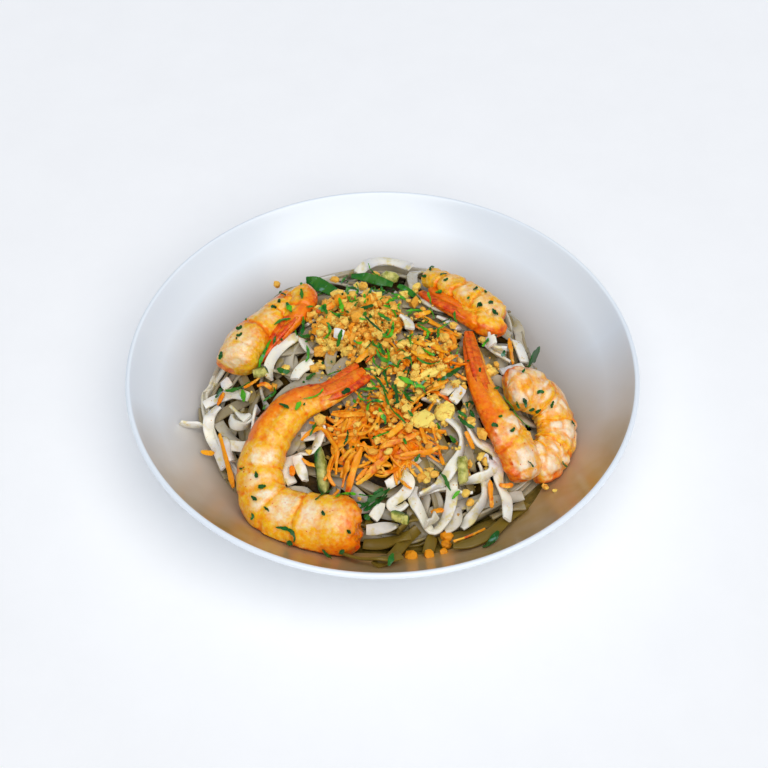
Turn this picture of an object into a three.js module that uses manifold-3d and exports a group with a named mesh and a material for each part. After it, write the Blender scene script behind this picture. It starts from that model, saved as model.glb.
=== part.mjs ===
// Pad thai in its bowl: flat rice noodles heaped in a porcelain coupe bowl, topped with four
// tail-on prawns, shredded carrot, crushed peanut, sticks of courgette and green leaves.
// Millimetres, +Z up, origin under the middle of the foot ring.
import * as THREE from "three";
import { mergeVertices } from "three/addons/utils/BufferGeometryUtils.js";
import Module from "manifold-3d";

const wasm = await Module();
wasm.setup();

// Bowl
const RIM_RADIUS = 110;
const RIM_HEIGHT = 47;
const LIP_THICKNESS = 2.6;
const INSIDE_RADIUS = RIM_RADIUS - LIP_THICKNESS;
const INSIDE_DEPTH = 38;
const FLAT_RADIUS = 28;
const BASE_THICKNESS = 4.6;
const FOOT_OUTER_RADIUS = 41;
const FOOT_WIDTH = 3.6;
const FOOT_RECESS = 3.4;
const BOWL_SIDES = 40;
const WALL_STEPS = 7;
const LIP_STEPS = 4;

// Heap of noodles: its height falls from the crown by a power of the radius
const CROWN_ABOVE_RIM = 10;
const HEAP_DROP = 32;
const HEAP_RADIUS = 82;
const HEAP_POWER = 2.8;
const CORE_INSET = 3;
const CORE_RADIUS = 80;
const CORE_RINGS = 9;
const UNDER_RINGS = 6;
const EDGE_HEIGHT = 1;
const CORE_SIDES = 40;
const GAP = 0.35;
const WALL_GAP = 0.7;
const TOWER_GAP = 1.4;
const SMALLEST_EDGE = 0.2;
const DENT_DEPTH = 1.8;
const DENT_PITCH = 17;
const OUTLINE_WAVE = 0.045;
// Where the heap's edge is drawn in: behind the right prawn and at the back, by turn from +X
const DRAWN_IN = [{ turn: 15, depth: 13 }, { turn: 112, depth: 11 }, { turn: 158, depth: 5.5 }];
const DRAWN_SPREAD = 26;

// What lies on it
const NOODLE = {
  width: 4.8, thickness: 1.5, count: 31, shortest: 22, longest: 60, steps: 6,
  bed: 0.4, lowest: 2.2, highest: 4.8,
};
const NOODLE_STEP = 3;
const NOODLE_INSIDE = 18;
const NOODLE_OUTSIDE = 73;
const NOODLE_INSET = 4.5;
const CARROT = { width: 2.4, thickness: 1.3, shortest: 9, longest: 17, steps: 2 };
const LOOSE_CARROTS = 6;
const LOOSE_CRUMBS = 8;
const CRUMB = { smallest: 1.3, largest: 2.8 };
const MOUND_RINGS = 6;
const MOUND_SIDES = 16;
const LEAF_THICKNESS = 0.9;
const LEAF_STEPS = 8;

// Prawns: the sink is how far one is pressed into the noodles, the keeps how near its middle
// line a noodle may come
const PRAWN_SIDES = 9;
const BODY_RINGS = 15;
const TAIL_RINGS = 10;
const PRAWN_SINK = 2.2;
const END_BLUNTNESS = 0.62;
const END_FULLNESS = 2.2;
const BODY_FLAT = [0.72, 0.76, 0.76, 0.78, 0.8];
const TAIL_FLAT = [0.8, 0.72, 0.55, 0.42, 0.3];
const BODY_KEEP = 6;
const TAIL_KEEP = 2.5;

// Successive pieces turned by this angle spread evenly over a disc
const GOLDEN_ANGLE = Math.PI * (3 - Math.sqrt(5));

const floorHeight = RIM_HEIGHT - INSIDE_DEPTH;
const wallSweep = 2 * Math.atan(INSIDE_DEPTH / (INSIDE_RADIUS - FLAT_RADIUS));
const wallRadius = (INSIDE_RADIUS - FLAT_RADIUS) / Math.sin(wallSweep);

// The same run of numbers each time, from 0 to 1
function seeded(seed) {
  let state = seed;
  return () => {
    state = (state * 1664525 + 1013904223) % 4294967296;
    return state / 4294967296;
  };
}

// Height of the bowl's inside at a radius: a flat floor, then one arc up to the lip
function wallHeight(radius) {
  if (radius <= FLAT_RADIUS) return floorHeight;
  const across = Math.min(1, (radius - FLAT_RADIUS) / wallRadius);
  return floorHeight + wallRadius * (1 - Math.sqrt(1 - across * across));
}

function heapHeight(radius) {
  return RIM_HEIGHT + CROWN_ABOVE_RIM - HEAP_DROP * (radius / HEAP_RADIUS) ** HEAP_POWER;
}

function heapSlope(radius) {
  return (HEAP_DROP * HEAP_POWER / HEAP_RADIUS) * (radius / HEAP_RADIUS) ** (HEAP_POWER - 1);
}

// The way a surface faces that falls outwards by slope, or rises where slope is negative
function facing(x, y, slope) {
  const radius = Math.hypot(x, y) || 1;
  return new THREE.Vector3(x * slope / radius, y * slope / radius, 1).normalize();
}

function heapNormal(x, y) {
  return facing(x, y, heapSlope(Math.hypot(x, y)));
}

function wallNormal(x, y) {
  const across = (Math.hypot(x, y) - FLAT_RADIUS) / wallRadius;
  return facing(x, y, -across / Math.sqrt(1 - across * across));
}

// The top of the bare core, under the noodles that show
function coreHeight(radius) {
  const slope = heapSlope(radius);
  return heapHeight(radius) - CORE_INSET * Math.sqrt(1 + slope * slope);
}

// What carries a topping at a radius: the core, or the bowl's wall beyond it
function supportHeight(radius) {
  return Math.max(coreHeight(radius), wallHeight(radius) + WALL_GAP) + GAP;
}

// One closed mesh with shared corners, no empty triangles and its faces pointing out
function closed(geometry) {
  const bare = geometry.clone();
  bare.deleteAttribute("normal");
  bare.deleteAttribute("uv");
  const merged = mergeVertices(bare, 1e-4);
  const corners = merged.index.array;
  const at = (index) => new THREE.Vector3().fromBufferAttribute(merged.attributes.position, index);
  const kept = [];
  let volume = 0;
  for (let i = 0; i < corners.length; i += 3) {
    const [a, b, c] = [corners[i], corners[i + 1], corners[i + 2]];
    if (a === b || b === c || a === c) continue;
    kept.push(a, b, c);
    volume += at(a).dot(at(b).cross(at(c)));
  }
  if (volume < 0) kept.reverse();
  merged.setIndex(kept);
  return merged;
}

function toSolid(geometry) {
  const mesh = closed(geometry);
  return new wasm.Manifold(new wasm.Mesh({
    numProp: 3,
    vertProperties: Float32Array.from(mesh.attributes.position.array),
    triVerts: Uint32Array.from(mesh.index.array),
  }));
}

function fromSolid(solid) {
  const mesh = solid.getMesh();
  const geometry = new THREE.BufferGeometry();
  geometry.setAttribute("position", new THREE.Float32BufferAttribute(mesh.vertProperties, 3));
  geometry.setIndex(Array.from(mesh.triVerts));
  return geometry;
}

function joined(geometries) {
  return geometries.map(toSolid).reduce((sum, solid) => sum.add(solid));
}

// The outer body of a solid, without loose scraps, and with any sealed hollow filled
function largest(solid) {
  return solid.simplify(SMALLEST_EDGE).decompose().sort((a, b) => b.volume() - a.volume())[0];
}

function reshaped(geometry, place) {
  const position = geometry.attributes.position;
  for (let i = 0; i < position.count; i++) {
    const point = place(position.getX(i), position.getY(i), position.getZ(i));
    position.setXYZ(i, point.x, point.y, point.z);
  }
  return geometry;
}

function bowl() {
  const points = [new THREE.Vector2(0, floorHeight)];
  for (let i = 0; i <= WALL_STEPS; i++) {
    const turn = wallSweep * i / WALL_STEPS;
    points.push(new THREE.Vector2(
      FLAT_RADIUS + wallRadius * Math.sin(turn),
      floorHeight + wallRadius * (1 - Math.cos(turn)),
    ));
  }
  // The lip is half a circle from the inside wall round to the outside
  const lip = LIP_THICKNESS / 2;
  const inner = points[points.length - 1];
  const centre = new THREE.Vector2(
    inner.x + lip * Math.sin(wallSweep),
    inner.y - lip * Math.cos(wallSweep),
  );
  for (let i = 1; i <= LIP_STEPS; i++) {
    const turn = wallSweep + Math.PI * (1 - i / LIP_STEPS);
    points.push(new THREE.Vector2(
      centre.x + lip * Math.sin(turn),
      centre.y - lip * Math.cos(turn),
    ));
  }
  // The outside follows the inside, thicker towards the foot
  for (let i = WALL_STEPS - 1; i >= 2; i--) {
    const turn = wallSweep * i / WALL_STEPS;
    const thickness = BASE_THICKNESS + (LIP_THICKNESS - BASE_THICKNESS) * i / WALL_STEPS;
    points.push(new THREE.Vector2(
      FLAT_RADIUS + (wallRadius + thickness) * Math.sin(turn),
      floorHeight + wallRadius - (wallRadius + thickness) * Math.cos(turn),
    ));
  }
  const footInner = FOOT_OUTER_RADIUS - FOOT_WIDTH;
  points.push(new THREE.Vector2(FOOT_OUTER_RADIUS + 1, BASE_THICKNESS));
  points.push(new THREE.Vector2(FOOT_OUTER_RADIUS, 0));
  points.push(new THREE.Vector2(footInner, 0));
  points.push(new THREE.Vector2(footInner - 1, FOOT_RECESS));
  points.push(new THREE.Vector2(0, FOOT_RECESS));
  return closed(new THREE.LatheGeometry(points, BOWL_SIDES).rotateX(Math.PI / 2));
}

// A rounded body between two height functions, out to an oval edge
function lens(centre, radii, sides, rings, top, bottom) {
  const ball = new THREE.SphereGeometry(1, sides, rings).rotateX(Math.PI / 2);
  return reshaped(ball, (x, y, z) => {
    const px = centre[0] + x * radii[0];
    const py = centre[1] + y * radii[1];
    const out = Math.min(1, Math.hypot(x, y));
    const height = z >= -1e-6 ? top(px, py, out) : bottom(px, py, out);
    return new THREE.Vector3(px, py, height);
  });
}

// How far the core's top falls below its smooth height: hollows between bundles of noodles
function dent(x, y) {
  const along = Math.sin((x + 0.6 * y) / DENT_PITCH * Math.PI + 2 * Math.sin(y / DENT_PITCH));
  const across = Math.sin((y - 0.4 * x) / DENT_PITCH * Math.PI + 2 * Math.sin(x / DENT_PITCH));
  return DENT_DEPTH * (1 + along * across) / 2;
}

function dentedHeight(x, y) {
  return coreHeight(Math.hypot(x, y)) - dent(x, y);
}

// The core's edge goes in and out, so that the heap isn't a true circle
function coreReach(turn) {
  const wave = (Math.sin(3 * turn + 1) + Math.sin(7 * turn + 2) + 2) / 4;
  const drawn = DRAWN_IN.map((place) => {
    const away = (THREE.MathUtils.radToDeg(turn) - place.turn) / DRAWN_SPREAD;
    return place.depth * Math.exp(-away * away);
  });
  return CORE_RADIUS * (1 - OUTLINE_WAVE * wave) - drawn.reduce((sum, depth) => sum + depth);
}

// How far from the core's edge a place lies, less than nothing beyond it
function insideEdge(x, y) {
  return coreReach(Math.atan2(y, x)) - Math.hypot(x, y);
}

// A flat drum in even rings, pressed into shape: its underside into the bowl, its top domed
function noodleCore() {
  const points = [];
  for (let i = 0; i <= UNDER_RINGS; i++) points.push(new THREE.Vector2(i / UNDER_RINGS, 0));
  for (let i = 0; i <= CORE_RINGS; i++) points.push(new THREE.Vector2(1 - i / CORE_RINGS, 1));
  const lathe = new THREE.LatheGeometry(points, CORE_SIDES).rotateX(Math.PI / 2);
  return reshaped(lathe, (x, y, z) => {
    const reach = coreReach(Math.atan2(y, x));
    const [px, py] = [x * reach, y * reach];
    const under = wallHeight(Math.hypot(px, py)) + WALL_GAP;
    const over = Math.max(dentedHeight(px, py), under + EDGE_HEIGHT);
    return new THREE.Vector3(px, py, z > 0.5 ? over : under);
  });
}

// The bowl's hollow, kept clear of its wall, which trims whatever would cross it
function hollow() {
  const points = [new THREE.Vector2(0, floorHeight + GAP)];
  for (let i = 0; i <= WALL_STEPS; i++) {
    const turn = wallSweep * i / WALL_STEPS;
    points.push(new THREE.Vector2(
      FLAT_RADIUS - GAP + (wallRadius - GAP) * Math.sin(turn),
      floorHeight + wallRadius - (wallRadius - GAP) * Math.cos(turn),
    ));
  }
  points.push(new THREE.Vector2(INSIDE_RADIUS - 1, 2 * RIM_HEIGHT));
  points.push(new THREE.Vector2(0, 2 * RIM_HEIGHT));
  return new THREE.LatheGeometry(points, BOWL_SIDES).rotateX(Math.PI / 2);
}

// A flat strip along a path, lying on its broad face
function strip(path, kind) {
  const curve = new THREE.CatmullRomCurve3(path, false, "centripetal");
  const box = new THREE.BoxGeometry(kind.width, kind.thickness, 1, 1, 1, kind.steps);
  return reshaped(box, (x, y, z) => {
    const along = curve.getTangentAt(z + 0.5);
    const middle = curve.getPointAt(z + 0.5);
    const across = along.clone().cross(heapNormal(middle.x, middle.y)).normalize();
    const over = across.clone().cross(along);
    return middle.addScaledVector(across, x).addScaledVector(over, y);
  });
}

// A strip with pointed ends in gentle waves, as a cut leaf is, on the heap or on the bowl's wall
function leaf({ route, width, lift }, spare = 0) {
  const onWall = route.every(([x, y]) => insideEdge(x, y) < 0);
  const path = route.map(([x, y], i) => {
    const wave = i % 2 ? 0.6 : 0;
    const radius = Math.hypot(x, y);
    const rest = onWall ? wallHeight(radius) + WALL_GAP : supportHeight(radius);
    return new THREE.Vector3(x, y, rest + lift + wave);
  });
  const curve = new THREE.CatmullRomCurve3(path, false, "centripetal");
  const thickness = LEAF_THICKNESS + 2 * spare;
  const box = new THREE.BoxGeometry(width + 2 * spare, thickness, 1, 1, 1, LEAF_STEPS);
  return toSolid(reshaped(box, (x, y, z) => {
    const along = curve.getTangentAt(z + 0.5);
    const middle = curve.getPointAt(z + 0.5);
    const taper = 0.25 + 0.75 * Math.sqrt(Math.max(0, 1 - (2 * z) ** 2));
    const up = onWall ? wallNormal(middle.x, middle.y) : heapNormal(middle.x, middle.y);
    const across = along.clone().cross(up).normalize();
    const over = across.clone().cross(along);
    return middle.addScaledVector(across, x * taper).addScaledVector(over, y);
  }));
}

// A tapered round body along a plan route, resting on what carries it. half lists half the
// body's depth at even steps, flat the ratio of its thickness to its depth at those steps.
function swept(route, half, flat, rings, spare = 0) {
  const value = (list, t) => {
    const place = Math.min(list.length - 1.001, t * (list.length - 1));
    const step = Math.floor(place);
    return THREE.MathUtils.lerp(list[step], list[step + 1], place - step);
  };
  const path = route.map(([x, y], i) => {
    const t = i / (route.length - 1);
    const slope = heapSlope(Math.hypot(x, y));
    const thick = value(half, t) * value(flat, t);
    const base = heapHeight(Math.hypot(x, y));
    return new THREE.Vector3(x, y, base + (thick - PRAWN_SINK) * Math.sqrt(1 + slope * slope));
  });
  const curve = new THREE.CatmullRomCurve3(path, false, "centripetal");
  const ball = new THREE.SphereGeometry(1, PRAWN_SIDES, rings);
  return reshaped(ball, (x, y, z) => {
    const turn = Math.acos(THREE.MathUtils.clamp(y, -1, 1)) / Math.PI;
    const t = turn - END_BLUNTNESS * Math.sin(2 * Math.PI * turn) / (2 * Math.PI);
    const round = Math.min(1, Math.hypot(x, z) * END_FULLNESS);
    const angle = Math.atan2(z, x);
    const along = curve.getTangentAt(t);
    const middle = curve.getPointAt(t);
    const across = along.clone().cross(heapNormal(middle.x, middle.y)).normalize();
    const over = across.clone().cross(along);
    const depth = (value(half, t) + spare) * round;
    const thick = (value(half, t) * value(flat, t) + spare) * round;
    middle.addScaledVector(across, depth * Math.cos(angle));
    middle.addScaledVector(over, thick * Math.sin(angle));
    const rest = supportHeight(Math.hypot(middle.x, middle.y)) - spare;
    middle.z = Math.max(middle.z, rest);
    return middle;
  });
}

// Each prawn lies curled on its side: a body from its blunt head end, then a tail to its tip
const PRAWNS = {
  prawn_front: {
    body: [[-8.5, -78.5], [-21, -78], [-36, -73.5], [-47, -66.5], [-50, -54], [-45.5, -42]],
    bodyHalf: [12.6, 12.4, 11.6, 11, 10.2, 9.4],
    tail: [[-49.5, -51.5], [-43.5, -38.5], [-34.5, -29.5], [-20, -23.5], [-8, -13.5]],
    tailHalf: [9.2, 8.8, 7.2, 5.2, 4.4],
  },
  prawn_right: {
    body: [[52, -19], [60.5, -16.5], [69, -18], [73, -25], [72.5, -34.5], [67.5, -43], [61.5, -46.5]],
    bodyHalf: [9.6, 9.8, 9.4, 9.4, 9.2, 9, 8.6],
    tail: [[61, -53], [55, -43.5], [46.5, -30], [41, -16], [38.5, -1], [37.5, 8]],
    tailHalf: [8.6, 8.6, 7.4, 6.2, 5, 3.2],
  },
  prawn_back_left: {
    body: [[-63, -4.5], [-60, 5], [-53.5, 15.5], [-45.5, 25.5], [-38.5, 35.5]],
    bodyHalf: [9.6, 10, 8, 7, 6.4],
    tail: [[-37.5, 36.5], [-34.5, 30.5], [-36.5, 23], [-41, 16.5], [-47.5, 7.5], [-52, 1.5]],
    tailHalf: [6.4, 6.2, 6, 5, 3.4, 2.2],
  },
  prawn_back_right: {
    body: [[19, 50.5], [26, 45], [35, 37], [43.5, 29], [50, 20.5]],
    bodyHalf: [5.2, 6, 6.8, 7.4, 7.2],
    tail: [[50.5, 21], [46.5, 18], [38.5, 21], [31.5, 26], [25, 31], [19, 37.5]],
    tailHalf: [6.4, 6, 5.2, 4.8, 4.6, 3.4],
  },
};

// A prawn as one solid, or a little larger by spare, to cut its place in its neighbours
function prawn({ body, bodyHalf, tail, tailHalf }, spare = 0) {
  return largest(toSolid(swept(body, bodyHalf, BODY_FLAT, BODY_RINGS, spare))
    .add(toSolid(swept(tail, tailHalf, TAIL_FLAT, TAIL_RINGS, spare))));
}

// Low mounds of toppings on the core: plan centre, plan radii and height
const MOUNDS = {
  carrot_heap_front: { centre: [-1, -43], radii: [20, 14], rise: 2.6, strips: 12, seed: 11 },
  carrot_heap_back: { centre: [17, -8], radii: [14, 11], rise: 2.4, strips: 8, seed: 23 },
  peanut_heap: { centre: [-12, 15], radii: [18, 15], rise: 3.4, crumbs: 22, seed: 37 },
};

function moundTop(mound, x, y, out) {
  const dome = Math.sqrt(Math.max(0, 1 - out * out));
  return coreHeight(Math.hypot(x, y)) + GAP + 0.6 + mound.rise * dome;
}

function moundHeight(mound, x, y) {
  const out = Math.hypot((x - mound.centre[0]) / mound.radii[0], (y - mound.centre[1]) / mound.radii[1]);
  return moundTop(mound, x, y, Math.min(1, out));
}

// A slightly bent strip laid across a mound, its ends sunk in and its middle standing clear
function laidStrip(mound, place, kind, random) {
  const turn = place * GOLDEN_ANGLE;
  const out = Math.sqrt((place + 0.5) / mound.strips) * 0.72;
  const x = mound.centre[0] + mound.radii[0] * out * Math.cos(turn);
  const y = mound.centre[1] + mound.radii[1] * out * Math.sin(turn);
  const heading = random() * Math.PI;
  const length = THREE.MathUtils.lerp(kind.shortest, kind.longest, random());
  const bend = (random() - 0.5) * 0.35;
  const lift = THREE.MathUtils.lerp(1.2, 2.8, random());
  const path = [-0.5, 0, 0.5].map((t) => {
    const px = x + length * t * Math.cos(heading + bend * t);
    const py = y + length * t * Math.sin(heading + bend * t);
    return new THREE.Vector3(px, py, moundHeight(mound, px, py) + (t ? 0.2 : lift));
  });
  return strip(path, kind);
}

// A rough crumb: a twenty-sided ball with each corner moved in or out
function crumb(x, y, z, size, random) {
  const ball = closed(new THREE.IcosahedronGeometry(size, 0));
  const stretch = new THREE.Vector3(0.8 + random() * 0.5, 0.8 + random() * 0.5, 0.7 + random() * 0.3);
  return reshaped(ball, (bx, by, bz) => {
    const rough = 0.82 + 0.36 * random();
    return new THREE.Vector3(bx, by, bz).multiply(stretch).multiplyScalar(rough)
      .add(new THREE.Vector3(x, y, z));
  });
}

function laidCrumb(mound, place, random) {
  const turn = place * GOLDEN_ANGLE;
  const out = Math.sqrt((place + 0.5) / mound.crumbs) * 0.9;
  const x = mound.centre[0] + mound.radii[0] * out * Math.cos(turn);
  const y = mound.centre[1] + mound.radii[1] * out * Math.sin(turn);
  const size = THREE.MathUtils.lerp(CRUMB.smallest, CRUMB.largest, random());
  return crumb(x, y, moundHeight(mound, x, y) + size * 0.35, size, random);
}

// The upright space over a mound, out to its edge and a little beyond
function tower(mound, beyond) {
  const post = new THREE.CylinderGeometry(1, 1, RIM_HEIGHT, 32).rotateX(Math.PI / 2);
  post.scale(mound.radii[0] + beyond, mound.radii[1] + beyond, 1);
  return toSolid(post.translate(mound.centre[0], mound.centre[1], RIM_HEIGHT));
}

function moundSolid(mound) {
  const random = seeded(mound.seed);
  const top = (x, y, out) => moundTop(mound, x, y, out);
  const bottom = (x, y) => coreHeight(Math.hypot(x, y)) + GAP;
  const pieces = [lens(mound.centre, mound.radii, MOUND_SIDES, MOUND_RINGS, top, bottom)];
  for (let i = 0; i < (mound.strips ?? 0); i++) pieces.push(laidStrip(mound, i, CARROT, random));
  for (let i = 0; i < (mound.crumbs ?? 0); i++) pieces.push(laidCrumb(mound, i, random));
  return joined(pieces).intersect(tower(mound, TOWER_GAP - GAP));
}

// Courgette sticks: a bent bar with its dark skin along one long side
const COURGETTE = { width: 5, thickness: 3.6, steps: 5 };
const COURGETTES = {
  courgette_1: [[-24.5, -60.5], [-23, -55], [-24, -49]],
  courgette_2: [[1, -73], [6, -70], [11, -70]],
  courgette_3: [[33, -59], [34.5, -54], [34.5, -49]],
  courgette_4: [[-56, -8], [-51, -9.5], [-46, -10]],
};

function courgette(route, spare = 0) {
  const path = route.map(([x, y]) => {
    const radius = Math.hypot(x, y);
    const slope = heapSlope(radius);
    const lift = (COURGETTE.thickness / 2 + GAP) * Math.sqrt(1 + slope * slope);
    return new THREE.Vector3(x, y, supportHeight(radius) + lift);
  });
  const width = COURGETTE.width + 2 * spare;
  const thickness = COURGETTE.thickness + 2 * spare;
  return toSolid(strip(path, { ...COURGETTE, width, thickness }));
}

// Broad pieces of green leaf: plan route, width and how far the middle is off its support
const LEAVES = {
  scallion_1: { route: [[-33, 44], [-28, 43], [-22, 40]], width: 7, lift: 2 },
  scallion_2: { route: [[-16, 46], [-9, 46], [-2, 43], [4, 39]], width: 4.2, lift: 2 },
  scallion_3: { route: [[5, 46], [10, 42.5], [15, 37]], width: 3.6, lift: 1.8 },
  leaf_right: { route: [[66, 22.5], [68.5, 27], [71.3, 30.6]], width: 4.6, lift: 0.8 },
  leaf_front: { route: [[44, -74], [50, -69], [54, -63]], width: 3.4, lift: 2 },
};

// A place is free if no topping stands on it
function isFree(x, y, reach) {
  for (const mound of Object.values(MOUNDS)) {
    const dx = (x - mound.centre[0]) / (mound.radii[0] + reach);
    const dy = (y - mound.centre[1]) / (mound.radii[1] + reach);
    if (dx * dx + dy * dy < 1) return false;
  }
  const near = (route, half) => route.some(([px, py], i) => {
    const [qx, qy] = route[Math.min(i + 1, route.length - 1)];
    return [0, 0.33, 0.66].some((t) => {
      const dx = x - THREE.MathUtils.lerp(px, qx, t);
      const dy = y - THREE.MathUtils.lerp(py, qy, t);
      return Math.hypot(dx, dy) < half + reach;
    });
  });
  const bars = Object.values(COURGETTES).some((route) => near(route, COURGETTE.width / 2 + 1));
  const leaves = Object.values(LEAVES).some(({ route, width }) => near(route, width / 2 + 1));
  const prawns = Object.values(PRAWNS)
    .some(({ body, tail }) => near(body, BODY_KEEP) || near(tail, TAIL_KEEP));
  return !(bars || leaves || prawns);
}

// Noodles whose loops show between the toppings, by their plan routes
const LOOPS = [
  [[25, -47], [28, -56], [28, -65], [23, -72], [17, -71], [14, -64]],
  [[28, -34], [33, -42], [30, -50], [25, -57], [18, -62]],
  [[33, -38], [40, -45], [44, -52], [46, -60], [48, -67]],
  [[39, -49], [42, -57], [39, -65], [33, -70]],
  [[57, -57], [50, -60], [41, -63], [31, -66]],
  [[38, -69], [27, -73], [14, -75]],
  [[17, -56], [10, -61], [2, -65], [-6, -67]],
  [[-73, -12], [-66, -12], [-59, -17]],
  [[-68, -15], [-72, -25], [-66, -37]],
  [[-65, -29], [-58, -30], [-52, -31]],
  [[-12, 60], [-4, 65], [5, 65], [14, 61]],
  [[-38, -50], [-31, -46], [-23, -45]],
  [[-36, -42], [-31, -50], [-30, -60]],
  [[44, 6], [50, 3], [57, 1]],
];

// One side of a wandering path, which stops short of toppings and turns in from the wall
function wander(x, y, heading, length, curl, wave) {
  const points = [];
  for (let run = 0; run < length; run += NOODLE_STEP) {
    heading += curl + wave * Math.sin(run / 8);
    x += NOODLE_STEP * Math.cos(heading);
    y += NOODLE_STEP * Math.sin(heading);
    if (insideEdge(x, y) < NOODLE_INSET || !isFree(x, y, NOODLE.width / 2)) break;
    points.push([x, y]);
  }
  return points;
}

// A noodle along a plan route: it dips into the core at its ends and humps between them
function humped(route, rise) {
  const humps = route.length * NOODLE_STEP > 45 ? 2 : 1;
  const path = route.map(([x, y], i) => {
    const hump = Math.sin(Math.PI * humps * i / (route.length - 1)) ** 2;
    return new THREE.Vector3(x, y, dentedHeight(x, y) + NOODLE.bed + rise * hump);
  });
  return strip(path, { ...NOODLE, steps: Math.min(NOODLE.steps, route.length) });
}

function loop(points) {
  const flat = points.map(([x, y]) => new THREE.Vector3(x, y, 0));
  const curve = new THREE.CatmullRomCurve3(flat, false, "centripetal");
  const steps = Math.round(curve.getLength() / NOODLE_STEP);
  return curve.getSpacedPoints(steps).map(({ x, y }) => [x, y]);
}

// A noodle through a free place, to both sides of it
function laidNoodle(x, y, heading, length, random) {
  const curl = (random() - 0.5) * 0.3;
  const wave = (random() - 0.5) * 0.34;
  const ahead = wander(x, y, heading, length / 2, curl, wave);
  const behind = wander(x, y, heading + Math.PI, length / 2, curl, wave);
  const route = [...behind.reverse(), [x, y], ...ahead];
  if (route.length * NOODLE_STEP < NOODLE.shortest) return null;
  return humped(route, THREE.MathUtils.lerp(NOODLE.lowest, NOODLE.highest, random()));
}

// Small strips and crumbs scattered on the bare core between the toppings
function scattered(count, reach, random, make) {
  const pieces = [];
  for (let tries = 0; pieces.length < count && tries < 40 * count; tries++) {
    const radius = THREE.MathUtils.lerp(NOODLE_INSIDE, NOODLE_OUTSIDE, Math.sqrt(random()));
    const turn = random() * Math.PI * 2;
    const [x, y] = [radius * Math.cos(turn), radius * Math.sin(turn)];
    const clear = insideEdge(x, y) > NOODLE_INSET && isFree(x, y, reach);
    if (clear) pieces.push(make(x, y, dentedHeight(x, y)));
  }
  return pieces;
}

function looseCarrot(x, y, random) {
  const heading = random() * Math.PI;
  const half = THREE.MathUtils.lerp(CARROT.shortest, CARROT.longest, random()) / 2;
  const path = [-half, 0, half].map((run) => {
    const px = x + run * Math.cos(heading);
    const py = y + run * Math.sin(heading);
    return new THREE.Vector3(px, py, dentedHeight(px, py) + (run ? 0.3 : 2.6));
  });
  return strip(path, CARROT);
}

function noodleHeap(clearance) {
  const random = seeded(5);
  const noodles = LOOPS.map((points) => humped(loop(points), NOODLE.highest));
  for (let i = 1; noodles.length < NOODLE.count && i < 12 * NOODLE.count; i++) {
    const radius = THREE.MathUtils.lerp(NOODLE_INSIDE, NOODLE_OUTSIDE, Math.sqrt(random()));
    const turn = i * GOLDEN_ANGLE;
    const [x, y] = [radius * Math.cos(turn), radius * Math.sin(turn)];
    if (insideEdge(x, y) < NOODLE_INSET || !isFree(x, y, NOODLE.width / 2)) continue;
    const long = 1 - noodles.length / NOODLE.count;
    const length = THREE.MathUtils.lerp(NOODLE.shortest, NOODLE.longest, long);
    const noodle = laidNoodle(x, y, random() * Math.PI * 2, length, random);
    if (noodle) noodles.push(noodle);
  }
  const carrots = scattered(LOOSE_CARROTS, CARROT.shortest, random,
    (x, y) => looseCarrot(x, y, random));
  const crumbs = scattered(LOOSE_CRUMBS, CRUMB.largest, random,
    (x, y, z) => crumb(x, y, z, CRUMB.largest, random));
  const toppings = joined([...noodles, ...carrots, ...crumbs]);
  const towers = Object.values(MOUNDS).map((mound) => tower(mound, TOWER_GAP));
  const trimmed = [...towers, clearance].reduce((left, solid) => left.subtract(solid), toppings);
  return toSolid(noodleCore()).add(trimmed).intersect(toSolid(hollow()));
}

const COLOURS = {
  bowl: 0xf4f7fa,
  noodle: 0xe6dfd2,
  carrot: 0xf58220,
  peanut: 0xe6a54a,
  prawn: 0xf2a65a,
  courgette: 0xa9b64a,
  leaf: 0x2f7d32,
};

function piece(name, geometry, colour, roughness) {
  const material = new THREE.MeshStandardMaterial({ color: colour, roughness, metalness: 0 });
  const mesh = new THREE.Mesh(geometry, material);
  mesh.name = name;
  return mesh;
}

const padThai = new THREE.Group();
padThai.add(piece("bowl", bowl(), COLOURS.bowl, 0.15));

for (const [name, size] of Object.entries(PRAWNS)) {
  padThai.add(piece(name, fromSolid(prawn(size)), COLOURS.prawn, 0.4));
}
const places = Object.values(PRAWNS).map((size) => prawn(size, GAP));
const prawnPlaces = places.reduce((sum, solid) => sum.add(solid));

function addTrimmed(name, solid, colour, roughness) {
  padThai.add(piece(name, fromSolid(largest(solid.subtract(prawnPlaces))), colour, roughness));
}

for (const [name, mound] of Object.entries(MOUNDS)) {
  addTrimmed(name, moundSolid(mound), mound.strips ? COLOURS.carrot : COLOURS.peanut, 0.6);
}
for (const [name, route] of Object.entries(COURGETTES)) {
  addTrimmed(name, courgette(route), COLOURS.courgette, 0.5);
  places.push(courgette(route, GAP));
}
for (const [name, size] of Object.entries(LEAVES)) {
  addTrimmed(name, leaf(size), COLOURS.leaf, 0.5);
  places.push(leaf(size, GAP));
}
const clearance = places.reduce((sum, solid) => sum.add(solid));
addTrimmed("noodle_heap", noodleHeap(clearance), COLOURS.noodle, 0.5);

export default padThai;
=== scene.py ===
import math

import bmesh
import bpy
import numpy as np
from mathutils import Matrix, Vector, noise


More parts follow.
